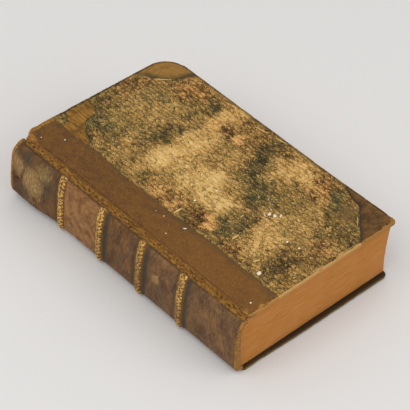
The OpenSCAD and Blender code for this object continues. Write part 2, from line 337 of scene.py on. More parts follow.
def worn_edges(look, pale, dark, bare):
    """Wears a covering where it turns over the edge of the board: a dark border on the face, a pale crease
    and a bare side.
    Over the side and turn-in it paints shade, and along the side strips of painted highlight, both by the
    side's shading share. The height of the place is the way over the crease, falling from the face."""
    way = look.split(look.place, 2)
    fray = look.scaled(look.noise(1.6, 4, 0.65), 2.6, way)
    look.paint(look.scaled(look.step(fray, 3.6, 1.6), look.value("edge_dark")), dark)
    ragged = look.scaled(look.spots(7, 3, 0.6, 0.42, 0.7), -2.2, fray)
    crease = look.scaled(look.step(ragged, 2.3, 1.3), look.step(way, -1.9, -0.8))
    look.paint(look.scaled(crease, look.value("edge_pale")), pale)
    worn = look.mix(look.noise(0.9, 3, scale=(0.3, 0.3, 3)), bare, pale)
    look.paint(look.scaled(look.step(way, -0.2, -0.9), look.value("edge_bare")), worn)
    # Painted shade: the side and turn-in are darkened to #38291a by the side's shading share
    side_shading = look.value("side_shading_share")
    look.paint(look.scaled(look.step(way, -0.1, -0.6), side_shading), "#38291a")
    # Painted highlight: golden strips of light caught along the middle of the side
    lit = look.scaled(look.step(way, -0.2, -0.7, 0.85), look.step(way, -2.3, -1.8))
    lit = look.scaled(lit, look.spots(3, 4, 0.65, 0.3, 0.55, scale=(1, 1, 0)))
    look.paint(look.scaled(lit, side_shading), "#856830")


def rubbed_through(look):
    return look.step(look.scaled(look.noise(1.8, 4, 0.7), 0.8, look.value("rubbed")), 0.75, 1.1)


COMB_PITCH = 3.1
COMB_RISE = 3.2
COMB_SWIRL = (6.0, 6.0, 0)


def marbled_paper_look():
    """Combed marbling: narrow columns of nested arches that point to the head."""
    look = Look("marbled_paper", "board")
    warm, slate, dark = (look.value(name) for name in ("warm", "slate", "dark"))
    swirl = look.noise(14, output=1)
    pulled = {0: swirl, 1: COMB_SWIRL, 2: look.place}
    pulled = look.node("ShaderNodeVectorMath", pulled, operation="MULTIPLY_ADD")
    column = look.scaled(look.split(pulled, 0), 1 / COMB_PITCH)
    across = look.scaled(look.math("FRACT", column), 2.0, -1.0)
    arch = look.scaled(look.scaled(across, across), COMB_RISE, look.split(pulled, 1))
    side = look.scaled(look.math("FLOOR", column), 3.7, look.scaled(across, 0.35))
    combed = look.node("ShaderNodeCombineXYZ", {0: side, 1: arch})
    leg = look.math("POWER", look.math("ABSOLUTE", across), 3.0)
    level = look.scaled(look.noise(1.15, 2, 0.6, at=combed), 1.3)
    for part, share in (
        (look.noise(0.9, 2, 0.6), 0.4), (look.noise(1.0, 2, 0.6, (1.6, 0.4, 1), at=pulled), 0.5),
        (look.noise(4.0, 4, 0.65), 0.6), (leg, 0.13), (dark, 0.485),
    ):
        level = look.scaled(part, share, level)
    pale = look.step(look.scaled(dark, -0.8, look.noise(6, 3, 0.6)), 0.1, 0.5)
    look.colour = look.mix(pale, "#b18c4e", "#d2ac68")
    look.paint(look.spots(3.3, 3, 0.6, 0.5, 0.66, 0.7), "#ba8b49")
    look.paint(warm, look.mix(look.noise(2.4), "#dfb06a", "#cc9352"))
    middle = look.mix(warm, look.mix(slate, "#846833", "#675e35"), "#916231")
    deep = look.mix(look.scaled(warm, 0.75), look.mix(slate, "#453318", "#403a22"), "#482d15")
    for low, high, coat in (
        (1.38, 1.22, "#dcc28a"), (1.52, 1.66, middle), (1.7, 1.82, deep), (1.92, 2.04, "#1f180d"),
    ):
        look.paint(look.step(level, low, high), coat)
    smear = look.scaled(look.noise(1.5, 3, 0.65), 0.9, look.value("stained"))
    look.paint(look.step(smear, 0.8, 1.25, 0.75), look.mix(slate, "#6d4e2a", "#4b452c"))
    worn_edges(look, "#b88f54", "#33271a", "#a8713c")
    return look.finish(0.66, look.noise(0.5, 4, 0.7), 0.06)


def side_leather_look():
    """Smooth calf beside the joint: dark brown at the head, warmer toward the tail."""
    look = Look("side_leather", "board")
    y = look.split(look.place, 1)
    look.colour = look.mix(look.step(look.scaled(look.noise(30), 60, y), 70, 190), "#704a20", "#5d3e1d")
    look.paint(look.spots(7, 4, 0.65, 0.38, 0.62, 0.6), "#77501f")
    look.paint(look.spots(13, 4, 0.6, 0.5, 0.7, 0.5), "#54381f")
    scuff = look.noise(1.3, 5, 0.72, (0.35, 1, 1), 35)
    look.paint(look.step(scuff, 0.52, 0.66, 0.5), "#91683a")
    look.paint(look.step(scuff, 0.46, 0.34, 0.55), "#4a3119")
    streak = look.spots(1.1, 3, 0.6, 0.55, 0.75, 0.7, (0.18, 1.4, 1))
    look.paint(look.scaled(streak, look.step(y, 90, 30)), "#7d4b26")
    speckle = look.step(look.spots(0.9, 3, 0.7, 0.42, 0.62), 0, 1, 0.9, 0.45)
    look.paint(look.scaled(look.value("slate"), speckle), "#4a3f28")
    look.paint(rubbed_through(look), look.mix(look.spots(1.4, 4, 0.7, 0.42, 0.6), "#7a5420", "#b07f38"))
    worn_edges(look, "#a57838", "#8a5f28", "#a8713c")
    shine = look.step(look.noise(6, 3), 0.3, 0.7, 0.58, 0.42)
    return look.finish(shine, look.leather_grain(), 0.05)


def corner_leather_look(name, body, border, rubbed):
    """Leather of one corner, with a soft line along its border and rubbed edges."""
    look = Look(name, "board")
    look.colour = look.mix(look.spots(6, 4, 0.6, 0.35, 0.65), body[0], body[1])
    look.paint(look.spots(1.4, 5, 0.72, 0.5, 0.64, 0.45, (0.35, 1, 1), -50), body[2])
    look.paint(look.value("slate"), border)
    look.paint(rubbed_through(look), rubbed)
    worn_edges(look, rubbed, border, "#9a6a38")
    return look.finish(0.5, look.leather_grain(), 0.05)


def leaf_look():
    """The cut edges of the leaves: thin lines along the boards, toned by dust."""
    look = Look("leaf_edges", "leaf")
    lines = look.noise(0.42, 3, 0.7, (0.03, 0.03, 1))
    look.colour = look.mix(look.step(lines, 0.3, 0.7), "#9b652c", "#c38546")
    look.paint(look.spots(3.2, 3, 0.6, 0.35, 0.7, 0.6, (0.15, 0.15, 1)), "#b27331")
    look.paint(look.spots(14, 3, 0.6, 0.42, 0.75, 0.35), "#c08352")
    look.paint(look.spots(0.8, 2, 0.5, 0.72, 0.76, 0.7), "#6b4020")
    return look.finish(0.8, lines, 0.12)


def spine_leather_look():
    """Dark calf of the spine, rubbed at the head, with gilt rolls on the bands."""
    look = Look("spine_leather", "sheet")
    low, gold = look.value("low"), look.value("gold")
    dark, light = look.mix(low, "#4a301d", "#503726"), look.mix(low, "#7a5430", "#88623c")
    look.colour = look.mix(look.spots(9, 5, 0.68, 0.27, 0.72, scale=(0.6, 1, 1)), dark, light)
    look.paint(look.spots(11, 4, 0.65, 0.5, 0.64, 0.6, (0.6, 1, 1), 20), "#5a4a37")
    scratch = look.noise(0.8, 4, 0.7, (0.16, 1, 1), 10)
    look.paint(look.step(scratch, 0.55, 0.68, 0.6), "#a8834f")
    look.paint(look.step(scratch, 0.44, 0.32, 0.7), "#352211")
    ragged = look.scaled(look.noise(4, 5, 0.7), 1.3, look.value("rubbed"))
    look.paint(look.step(ragged, 1.05, 1.35, 0.75), "#947444")
    scuff = look.spots(1.1, 4, 0.7, 0.5, 0.64, 1.0, (0.3, 1, 1), -8)
    scuff = look.scaled(scuff, look.step(ragged, 0.9, 1.5))
    look.paint(scuff, look.mix(look.noise(4, 3), "#c6a569", "#a59162"))
    look.paint(look.value("label"), look.mix(look.spots(5, 5, 0.7, 0.3, 0.7), "#714727", "#986a42"))
    # The slate share darkens the leather: slate-toned patches, tooled lines, and painted shade beside the
    # bands
    look.paint(look.scaled(look.value("slate"), 0.8), "#3a362b")
    look.paint(look.scaled(look.value("red"), 0.85), "#4a2a14")
    look.paint(look.scaled(gold, 0.8), "#70481d")
    gilt = look.scaled(look.spots(1.6, 3, 0.7, 0.44, 0.52), gold)
    gilt = look.scaled(look.step(look.value("motif"), 0.3, 0.6), gilt)
    look.paint(gilt, look.mix(look.noise(2.2), "#f2cd78", "#d49a3c"))
    fray = look.step(look.scaled(look.noise(1.8, 4, 0.7), 0.9, look.value("cap_edge")), 0.7, 1.05)
    look.paint(fray, look.mix(look.spots(1.2, 3, 0.65, 0.4, 0.6), "#6b4720", "#a87a3a"))
    look.paint(look.value("hole"), "#24160d")
    shine = look.step(gilt, 0, 1, 0.34, 0.5)
    return look.finish(shine, look.leather_grain(1.3, 0.65, 1.0, 0.6), 0.07, look.scaled(gilt, 0.35))


def joint_look():
    """Leather worn to its fibres along the joint, and cracked where it bends."""
    look = Look("joint_leather")
    across = look.value("across")
    fibre = look.noise(0.9, 4, 0.7, (1, 0.35, 1))
    look.colour = look.mix(look.step(fibre, 0.36, 0.62), "#45290f", "#96692a")
    look.paint(look.spots(1.3, 4, 0.7, 0.52, 0.72, 1.0, (1, 0.3, 1)), "#a87d3c")
    fray = look.noise(1.6, 4, 0.7)
    look.paint(look.step(look.scaled(fray, 0.7, across), 1.1, 1.3), "#6b4824")
    look.paint(look.step(look.scaled(fray, -0.5, across), 0.0, -0.2), "#4d3a25")
    middle = look.scaled(look.step(across, 0.3, 0.42), look.step(across, 0.7, 0.55))
    crack = look.spots(1.0, 4, 0.7, 0.55, 0.66, 0.8, (1, 0.22, 1))
    look.paint(look.scaled(crack, middle), "#2b1c0d")
    return look.finish(0.6, fibre, 0.25)


def mottled_look(name, colours, mottle, reach=None, spots=(), roughness=0.8, depth=0.0, grain=None):
    """Two colours mottled by a noise, with soft spots over them. reach is the noise's
    step from one colour to the other. grain is another noise or "leather", and the
    mottling serves as the grain where none is given."""
    look = Look(name)
    cloud = look.noise(*mottle)
    look.colour = look.mix(look.step(cloud, *reach) if reach else cloud, *colours)
    for coat, *spot in spots:
        look.paint(look.spots(*spot), coat)
    height = grain and (look.leather_grain() if grain == "leather" else look.noise(*grain))
    return look.finish(roughness, depth and (height or cloud), depth)


def endpaper_look():
    return mottled_look("endpaper", ("#cdb185", "#b8925e"), (30, 4, 0.6), (0.35, 0.7),
                        [("#8a5a2c", 1.9, 3, 0.6, 0.68, 0.74, 0.55)], 0.75, 0.03, (0.5, 4, 0.7))


def thread_look(name, low, high, size=0.8):
    return mottled_look(name, (low, high), (size, 3, 0.6, (1, 1.6, 1), 35), (0.35, 0.65), depth=0.15)


# The covers

RIM_R = 1.2
UNDER_R = 0.5
TURN_IN = 4.0
FACE_STEP = 0.85
COVER_LEATHER_T = 0.4
SKIN_T = 0.33
PAPER_DROP = 0.12
FACE_DROP = 0.10
FACE_WAVES = [(0.10, 45, 3), (0.05, 12, 5)]
FACE_WAVES_FADE = (1, 12)
NICK_NOISE = (5, 4, 21)
NICK_FROM = 0.1
NICK_DEPTH = 0.5
FRONT_TAIL_NICKS = 1.3
BACK_TAIL_NICKS = 0.3

FRONT_RADII = np.array([1.5, 2, 18, 8]) + COVER_LEATHER_T
BACK_RADII = np.array([1.5, 3, 3, 1.5]) + COVER_LEATHER_T

# Bumps at the tail: how far out, from x to x where they begin, from y to y where they end
FRONT_CORNER_BUMP = (1.1, 95, BOARD_W, 5, 60)
LEAF_CORNER_BUMP = (2.09, 95, BOARD_W, 5, 60)
BACK_CORNER_BUMP = (0.5, 95, BOARD_W, 6, 30)
BACK_TAIL_BUMP = (0.9, 10, 60, 6, 30)


def bump(points, reach, x_low, x_high, y_low, y_high):
    """How far a place near the tail has been pushed out."""
    return reach * smooth(points[:, 0], x_low, x_high) * (1 - smooth(points[:, 1], y_low, y_high))


def board_outline(radii, step):
    """Points and normals round a board, from its tail corner at the joint, counter-clockwise."""
    a, b, c, d = radii
    centres = np.array([(a, a), (BOARD_W - b, b), (BOARD_W - c, BOARD_H - c), (d, BOARD_H - d)])
    points, normals = [], []
    for k, (centre, radius) in enumerate(zip(centres, radii)):
        turns = max(5, round(radius * math.pi / 2 / step))
        angles = np.radians(180 + 90 * k + 90 * np.arange(turns + 1) / turns)
        round_part = table(np.cos(angles), np.sin(angles))
        arc = centre + radius * round_part
        start = centres[(k + 1) % 4] + radii[(k + 1) % 4] * round_part[-1]
        count = max(2, round(np.linalg.norm(start - arc[-1]) / step))
        points += [arc, arc[-1] + (start - arc[-1]) * (np.arange(1, count) / count)[:, None]]
        normals += [round_part, np.repeat(round_part[-1:], count - 1, axis=0)]
    return np.vstack(points), np.vstack(normals)


def edge_distance(xy, radii):
    """Distance from each place on the face to the board's outline."""
    x, y = xy.T
    best = np.minimum.reduce([x, BOARD_W - x, y, BOARD_H - y])
    corners = (x, y), (BOARD_W - x, y), (BOARD_W - x, BOARD_H - y), (x, BOARD_H - y)
    for (along, across), radius in zip(corners, radii):
        near = (along < radius) & (across < radius)
        best = np.where(near, radius - np.hypot(radius - along, radius - across), best)
    return best


def rim_profile():
    """Distance in from the outline, height from the face, and way over the crease."""
    top = np.radians(np.arange(15, 91, 15))
    out = [(RIM_R * (1 - math.sin(a)), -RIM_R * (1 - math.cos(a)), RIM_R * (math.pi / 4 - a)) for a in top]
    depth = COVER_T - PASTEDOWN_T
    side = depth - RIM_R - UNDER_R
    way = -RIM_R * math.pi / 4
    out += [(0, -RIM_R - share * side, way - share * side) for share in (0.5, 1.0)]
    way -= side
    for a in np.radians([30, 60, 90]):
        out.append((UNDER_R * (1 - math.cos(a)), -depth + UNDER_R * (1 - math.sin(a)), way - UNDER_R * a))
    way -= UNDER_R * math.pi / 2
    return out + [(inward, -depth, way - inward + UNDER_R) for inward in (1.5, TURN_IN)]


def wavy(corners, wave, seed, step):
    """A line through the corners in short steps, with small waves across it."""
    corners = np.array(corners, float)
    length = lengths(corners)[-1]
    places = np.linspace(0, length, max(3, round(length / step) + 1))
    line = resample(corners, places)
    fade = smooth(np.minimum(places, length - places), 0, 3)
    return line + leftward(line) * (rough_along(places, 6, 4, seed) * wave * fade)[:, None]


def inside(points, loop):
    """Which points lie inside a closed loop."""
    hit = np.zeros(len(points), bool)
    x, y = points.T
    for (x0, y0), (x1, y1) in zip(loop, np.roll(loop, -1, axis=0)):
        crosses = (y0 > y) != (y1 > y)
        if crosses.any():
            hit ^= crosses & (x < (x1 - x0) * (y - y0) / (y1 - y0) + x0)
    return hit


def fill(loop, step):
    """Triangles over the area inside a loop, with the loop's own points on its border."""
    low, high = loop.min(axis=0), loop.max(axis=0)
    rows = np.arange(low[1], high[1], step * math.sqrt(3) / 2)
    columns = np.arange(low[0], high[0], step)
    grid = np.array([(x + (k % 2) * step / 2, y) for k, y in enumerate(rows) for x in columns])
    grid = grid[inside(grid, loop)]
    grid = grid[distances(grid, loop) > step * 0.55]
    made = triangulate(np.vstack([loop, grid]), len(loop))
    return np.array([tuple(p) for p in made[0]]), np.array(made[2])


class Cover:
    """The outer surface of one board: where its pieces meet, and how it is worn."""

    def __init__(self, radii, front, step):
        self.radii = radii
        self.front = front
        self.step = step
        self.points, self.normals = board_outline(radii, step)

    def inset(self, index):
        return self.points[index] - self.normals[index] * RIM_R

    def border(self, line, wave, seed):
        """A wavy line from edge to edge, and the points of the outline that it joins."""
        first, last = nearest(self.points, line[0]), nearest(self.points, line[-1])
        return wavy([self.inset(first), *line[1:-1], self.inset(last)], wave, seed, self.step), first, last

    def height(self, xy, raised):
        """Height of the face above the board's true outer face."""
        wave = waves(xy, FACE_WAVES) * smooth(edge_distance(xy, self.radii), *FACE_WAVES_FADE)
        return wave - FACE_DROP - (0 if raised else PAPER_DROP)

    def run(self, first, last):
        """The outline's points from first to last, on round the board if need be."""
        count = len(self.points)
        return np.arange(first, last + 1 if last >= first else last + count + 1) % count

    def piece(self, parts, raised):
        """Points and triangles of one covering's face, rim and turn-in, and the points'
        way over the crease. A part is a run of the outline or a line."""
        runs = [self.run(*part) if isinstance(part, tuple) else None for part in parts]
        loop = np.vstack([part[1:-1] if run is None else self.inset(run) for part, run in zip(parts, runs)])
        xy, triangles = fill(loop, self.step)
        points = [table(xy, self.height(xy, raised))]
        ways = [edge_distance(xy, self.radii) - RIM_R + RIM_R * math.pi / 4]
        faces = [triangles]
        total = len(xy)
        profile = rim_profile()
        for run in (run for run in runs if run is not None):
            base, normal, inner = self.points[run], self.normals[run], self.inset(run)
            start = self.height(inner, raised)
            points.append(table(inner, start))
            fan = self.fan_reach(base, normal)
            for inward, drop, _ in profile:
                reach = np.minimum(inward, fan) + self.nick(base, drop)
                lift = start * (1 - smooth(-drop, 0, RIM_R))
                points.append(table(base - normal * reach[:, None], lift + drop))
            ways.append(np.repeat([RIM_R * math.pi / 4] + [way for _, _, way in profile], len(run)))
            faces.append(grid_triangles(len(profile) + 1, len(run))[:, ::-1] + total)
            total += len(ways[-1])
        return weld(np.vstack(points), np.vstack(faces), np.concatenate(ways))

    def fan_reach(self, base, normal):
        """How far in a point of the outline may go before it passes its corner's centre."""
        straight = np.abs(normal).max(axis=1) > 0.9999
        reach = np.full(len(base), 99.0)
        for corner, radius in zip([(0, 0), (BOARD_W, 0), (BOARD_W, BOARD_H), (0, BOARD_H)], self.radii):
            near = np.abs(base - corner).max(axis=1) <= radius + 1e-6
            reach = np.where(near & ~straight, radius * 0.98, reach)
        return reach

    def nick(self, base, drop):
        """Small losses along the edges, deepest at the crease and at the tail."""
        depth = NICK_DEPTH + (FRONT_TAIL_NICKS if self.front else BACK_TAIL_NICKS) * (base[:, 1] < 1)
        return np.clip(rough(base, *NICK_NOISE) - NICK_FROM, 0, 1) * depth * bell(-drop, RIM_R * 0.4, 0.8)

    def place(self, points):
        """From the cover's own height to its place on the book."""
        out = points.copy()
        if self.front:
            out[:, 2] += BOOK_T
            out[:, 0] += bump(out, *FRONT_CORNER_BUMP)
        else:
            out[:, 2] *= -1
            out[:, 1] -= bump(out, *BACK_TAIL_BUMP)
            out[:, 0] += bump(out, *BACK_CORNER_BUMP)
        return out


# Places on the front board where the marbling differs: x, y, the half length and half
# width of the place, its turn, and then the share of dark colour, warmth, and slate blue
MARBLING = [
    (80, 185, 36, 26, 0, 0.50, 0.10, 0.50), (35, 165, 9, 16, 0, 0.48, 0.30, 0.35),
    (58, 173, 12, 13, 0, 0.48, 0.00, 0.25), (88, 206, 17, 8, 0, 0.62, 0.50, 0.00),
    (88, 170, 12, 11, 0, 0.26, 0.00, 0.20), (117, 178, 12, 11, 0, 0.46, 0.90, 0.00),
    (46, 191, 10, 5.5, 22, 0.88, 0.00, 0.90), (59, 204, 10, 4.5, 42, 0.68, 0.00, 0.50),
    (69, 211, 8, 4, 10, 0.62, 0.00, 0.40), (66, 137, 32, 12, 0, 0.03, 0.10, 0.00),
    (58, 107, 17, 20, 0, 0.03, 0.05, 0.00), (64, 130, 12, 2.2, 8, 0.34, 0.40, 0.00),
    (111, 140, 16, 10, 0, 0.08, 0.45, 0.00), (113, 154, 5, 3.5, 0, 0.92, 0.00, 0.90),
    (82, 150, 4, 3, 30, 0.86, 0.00, 1.00), (71, 152, 6, 4, 0, 0.76, 0.00, 0.50),
    (33, 130, 7, 6, -30, 0.78, 0.00, 0.70), (32, 112, 7, 14, 0, 0.30, 0.70, 0.00),
    (31, 111, 5, 4, 0, 0.72, 0.40, 0.10), (88, 108, 12, 17, 0, 0.32, 0.20, 0.00),
    (114, 112, 14, 18, 0, 0.62, 0.35, 0.10), (106, 126, 8, 6, 0, 0.76, 0.60, 0.00),
    (107, 117, 5, 4, 0, 0.20, 0.90, 0.00), (118, 98, 10, 7, 0, 0.90, 0.05, 0.50),
    (77, 72, 12, 7.5, 45, 0.84, 0.00, 0.85), (88, 84, 12, 8.5, 45, 0.84, 0.00, 0.80),
    (101, 95, 11, 7, 30, 0.84, 0.00, 0.70), (32, 84, 7, 10, 0, 0.84, 0.55, 0.00),
    (39, 77, 4, 6, 0, 0.20, 1.00, 0.00), (52, 83, 10, 12, 0, 0.07, 0.05, 0.00),
    (43, 63, 19, 8, -8, 0.76, 0.00, 0.50), (112, 71, 13, 15, 0, 0.14, 0.40, 0.00),
    (127, 62, 3, 6, 0, 0.80, 0.20, 0.10), (56, 44, 20, 12, 0, 0.12, 0.15, 0.00),
    (30, 50, 5, 8, 0, 0.78, 0.55, 0.00), (89, 38, 13, 12, 0, 0.36, 0.15, 0.10),
    (117, 48, 12, 9, 0, 0.52, 0.85, 0.00), (114, 37, 12, 4.5, 20, 0.88, 0.00, 0.80),
    (73, 16, 14, 13, 0, 0.46, 0.50, 0.10), (97, 16, 12, 13, 0, 0.70, 0.10, 0.40),
    (46, 16, 19, 5, -5, 0.90, 0.15, 0.30), (42, 8, 18, 4, 0, 0.60, 0.35, 0.10),
]
BACK_MARBLING = [
    (45, 170, 20, 18, 30, 0.35, 0.3, 0.1), (90, 120, 25, 22, 0, 0.30, 0.3, 0.1),
    (60, 60, 22, 12, 40, 0.70, 0.0, 0.7), (110, 70, 12, 16, 0, 0.40, 0.5, 0.1),
    (105, 165, 18, 9, 35, 0.70, 0.1, 0.5), (50, 110, 12, 14, 0, 0.62, 0.1, 0.4),
]
MARBLING_PLAIN = (0.56, 0.20, 0.35)
MARBLING_WANDER = 4.5
# How much darkness, warmth and slate vary everywhere: share, size and seed of the noise
MARBLING_VARIES = [(0.14, 8, 60), (0.16, 13, 70), (0.16, 15, 80)]
DARK_LOW, DARK_SPAN = 0.09, 0.84


def marbling(xy, places):
    """The share of dark colour, the warmth and the slate at each place."""
    values = np.tile(MARBLING_PLAIN, (len(xy), 1))
    wander = table(rough(xy, 12, 3, 40), rough(xy, 12, 3, 50)) * MARBLING_WANDER
    for x, y, half_length, half_width, turn, *target in places:
        c, s = math.cos(math.radians(turn)), math.sin(math.radians(turn))
        away = xy + wander - [x, y]
        along, across = away @ [c, s] / half_length, away @ [-s, c] / half_width
        weight = np.exp(-0.8 * (along ** 2 + across ** 2) ** 1.6)[:, None]
        values = values * (1 - weight) + np.array(target) * weight
    values += table(*(share * rough(xy, size, 3, seed) for share, size, seed in MARBLING_VARIES))
    dark, warm, slate = np.clip(values * [DARK_SPAN, 1, 1] + [DARK_LOW, 0, 0], 0, 1).T
    return {"dark": dark, "warm": warm, "slate": slate}


BACK_SIDE = 25
BACK_CORNER = 32
BACK_STEP = 1.5
EDGE_WEAR = (2, 8)


def edge_values(xy, front):
    """How pale, dark or bare each stretch of a cover's edge is worn, and how much painted shade and
    highlight its side takes.
    """
    x, y = xy.T
    tail, head, fore, joint = (1 - smooth(away, *EDGE_WEAR) for away in (y, BOARD_H - y, BOARD_W - x, x))
    if front:
        pale = tail + 0.35 * fore + 0.5 * joint * smooth(y, 195, 212) + 0.4 * head * smooth(x, 60, 20)
        # The second share is painted shade and highlight on the side, along the fore-edge and the joint
        dark, side_shading = 0.7 * fore + 0.6 * head, 0.3 * fore + 0.5 * joint
        bare = tail + 0.25 * fore + 0.3 * head
    else:
        patchy = 0.5 + 0.5 * np.clip(noise(xy, 14, 7), -1, 1)
        leather = smooth(BACK_SIDE - x, -1, 1)
        pale = (0.3 * patchy + 0.6 * leather) * (tail + fore + head + joint)
        # The back board's side takes painted shade and highlight almost all round
        dark, bare, side_shading = (fore + head + tail) * (1 - leather), 0 * x, 0.95 + 0 * x
    names = ("edge_pale", "edge_dark", "edge_bare", "side_shading_share")
    return {name: np.clip(value, 0, 1) for name, value in zip(names, (pale, dark, bare, side_shading))}


COVERINGS = [
    ("paper_side", "marbled_paper", "marbled_paper"), ("side_of_leather", "leather_side", "side_leather"),
    ("corner_at_tail", "tail_corner", "corner_leather"), ("corner_at_head", "head_corner", "corner_leather"),
]


def cover_board(cover, borders, paper_side, looks, worn):
    """The four coverings of a board. worn gives the values by which each look is worn."""
    (side, side_tail, side_head), (tail, fore_tail, tail_fore), (head, head_fore, fore_head) = borders
    runs = [
        [(side_tail, tail_fore), tail[::-1], (fore_tail, fore_head),
         head[::-1], (head_fore, side_head), paper_side],
        [(side_head, side_tail), side], [(tail_fore, fore_tail), tail], [(fore_head, head_fore), head],
    ]
    which = "front" if cover.front else "back"
    for (name, node, slot), parts, look, values_at in zip(COVERINGS, runs, looks, worn):
        points, triangles, way = cover.piece(parts, slot != "marbled_paper")
        xy = points[:, :2]
        values = {"board": table(xy, way), **edge_values(xy, cover.front), **values_at(xy)}
        points, triangles, values = shell(points, triangles, values, SKIN_T)
        points[:, 2] = np.minimum(points[:, 2], 0)
        if not cover.front:
            triangles = triangles[:, ::-1]
        make_piece(f"{which}_{name}", cover.place(points), triangles, look, f"{which}_cover",
                   [f"{which}_{node}"], values)


def closeness(xy, line, reach):
    """1 on a line and falling to 0 at that reach from it."""
    return 1 - smooth(distances(xy, line), 0, reach)


# The leather's nearly straight edge, from tail to head, and the two corners, from edge to edge
SIDE_LINE = [(24.6, 0), (24.7, 39), (24.6, 68), (24.1, 97), (24, 121), (24.1, 149), (24.7, 176),
             (24, 201), (23.8, 215)]
TAIL_CORNER_LINE = [(130, 44), (127.5, 42), (124, 34), (122, 26), (116, 19), (105, 7), (99, 0)]
HEAD_CORNER_LINE = [(97, 215), (98, 213), (104, 204), (110, 197), (118.5, 191.5), (127, 187), (130, 186)]
# The torn place, from its head end round to its tail end, beside the leather
TEAR_LINE = [(24, 203.5), (30, 204.6), (34.5, 212.8), (54, 212.8), (53.6, 208), (51.3, 203.5), (46, 199.5),
             (39, 198.3), (36, 194), (32.4, 190.6), (29.7, 183.7), (26.6, 178.9), (24.6, 179.6)]
# Leather-brown smear on the paper beside the tail corner, and a smudge on the leather
# near the joint: x, y and both reaches
SMEAR = (111, 25, 13, 11)
SMUDGE = (19, 81, 4, 5)


def blot(xy, place):
    return np.exp(-(((xy - place[:2]) / place[2:]) ** 2).sum(axis=1))


def front_covering(looks):
    cover = Cover(FRONT_RADII, True, FACE_STEP)
    borders = [cover.border(SIDE_LINE, 0.7, 61), cover.border(TAIL_CORNER_LINE, 0.5, 62),
               cover.border(HEAD_CORNER_LINE, 0.5, 63)]
    side, tail_corner, head_corner = (line for line, _, _ in borders)
    tear = wavy(TEAR_LINE, 0.22, 64, 0.6)
    low, high = nearest(side, tear[-1]), nearest(side, tear[0])
    paper_side = np.vstack([side[::-1][:len(side) - high], tear[1:-1], side[::-1][len(side) - 1 - low:]])

    def paper_worn(xy):
        beside = np.maximum(closeness(xy, side, 2.2), closeness(xy, tail_corner, 2.6))
        soot = np.maximum(0.9 * closeness(xy, tear, 6), 0.8 * closeness(xy, head_corner, 4))
        soot *= np.clip(0.8 + 0.5 * noise(xy, 7, 12), 0, 1)
        values = marbling(xy, MARBLING)
        values["dark"], values["slate"] = (np.maximum(values[name], soot) for name in ("dark", "slate"))
        values["stained"] = np.clip(np.maximum(0.75 * beside, 0.8 * blot(xy, SMEAR)), 0, 1)
        return values

    def side_worn(xy):
        x, y = xy.T
        near = closeness(xy, side, 5.5) * (0.45 + 0.55 * smooth(y, 130, 90)) * (0.75 + 0.4 * noise(xy, 9, 9))
        rubbed = 0.75 * np.maximum(smooth(y, 208, 214), smooth(y, 186, 212) * smooth(x, 7, 1))
        return {"slate": np.clip(0.9 * near + 0.4 * blot(xy, SMUDGE), 0, 1), "rubbed": rubbed}

    def tail_worn(xy):
        return {"slate": 0.8 * closeness(xy, tail_corner, 3.5), "rubbed": 0.5 * smooth(xy[:, 0], 119, 130)}

    def head_worn(xy):
        return {"slate": np.clip(closeness(xy, head_corner, 6.0) * (1.0 + 0.5 * noise(xy, 5, 13)), 0, 0.95)}

    cover_board(cover, borders, paper_side, looks, (paper_worn, side_worn, tail_worn, head_worn))
    return cover


def back_covering(looks):
    cover = Cover(BACK_RADII, False, BACK_STEP)
    inner = BOARD_W - BACK_CORNER
    ends = [
        [(BACK_SIDE, 0), (BACK_SIDE, BOARD_H)], [(BOARD_W, BACK_CORNER), (inner, 0)],
        [(inner, BOARD_H), (BOARD_W, BOARD_H - BACK_CORNER)],
    ]
    borders = [cover.border(line, 0.4, 71 + k) for k, line in enumerate(ends)]
    worn = [lambda xy, line=line: {"slate": 0.6 * closeness(xy, line, 4)} for line, _, _ in borders]
    cover_board(cover, borders, borders[0][0][::-1], looks, [lambda xy: marbling(xy, BACK_MARBLING), *worn])


# The spine

# The outer face of the spine in x and z, from the front joint round to the back one:
# near the tail, in the middle, and at the head, where it has spread
SPINE_TAIL = [(-0.45, 46.7), (-3, 46.9), (-5.6, 45.6), (-6.9, 41.5), (-7.9, 35), (-8.4, 27.7), (-8.3, 20),
              (-8, 12.4), (-7, 6.5), (-5.2, 3.3), (-2.6, 2.35), (-0.45, 2.45)]
SPINE_MIDDLE = [(-0.45, 46.7), (-2.8, 46.9), (-5.2, 45.4), (-6.5, 41), (-7.5, 34.5), (-7.8, 27),
                (-7.9, 19.7), (-7.8, 12), (-7.2, 6.5), (-5.6, 3.3), (-2.8, 2.35), (-0.45, 2.45)]
SPINE_HEAD = [(-0.45, 46.2), (-3.3, 46.2), (-6.6, 44.3), (-9.5, 41.2), (-10.9, 36.4), (-11.6, 27),
              (-11.8, 17), (-11.5, 8.8), (-9.4, 4.2), (-6.3, 2.6), (-3, 2.35), (-0.45, 2.45)]
TAIL_ZONE = (30, 70)
HEAD_ZONE = (165, 196)
CURVE_STEPS = 400


def curve_through(stations):
    """A smooth curve through the stations, as places at even distances, and its length."""
    p = np.array(stations, float)
    p = np.vstack([2 * p[0] - p[1], p, 2 * p[-1] - p[-2]])
    t = np.arange(30)[:, None] / 30
    line = [b + 0.5 * t * (c - a + t * (2 * a - 5 * b + 4 * c - d + t * (3 * (b - c) + d - a)))
            for a, b, c, d in zip(p, p[1:], p[2:], p[3:])]
    line = np.vstack(line + [p[-2:-1]])
    length = lengths(line)[-1]
    return resample(line, np.linspace(0, length, CURVE_STEPS + 1)), length


CURVES, CURVE_LENGTHS = zip(*[curve_through(s) for s in (SPINE_TAIL, SPINE_MIDDLE, SPINE_HEAD)])
SPINE_LENGTH = float(np.mean(CURVE_LENGTHS))
# The spine stays above the back cover when that lies opened under it
SPINE_CLEAR_Z = 2.05
# Where the shoulders end and the back of the leaves begins
ROUND_FROM = 8.0
ROUND_TO = SPINE_LENGTH - 8.0


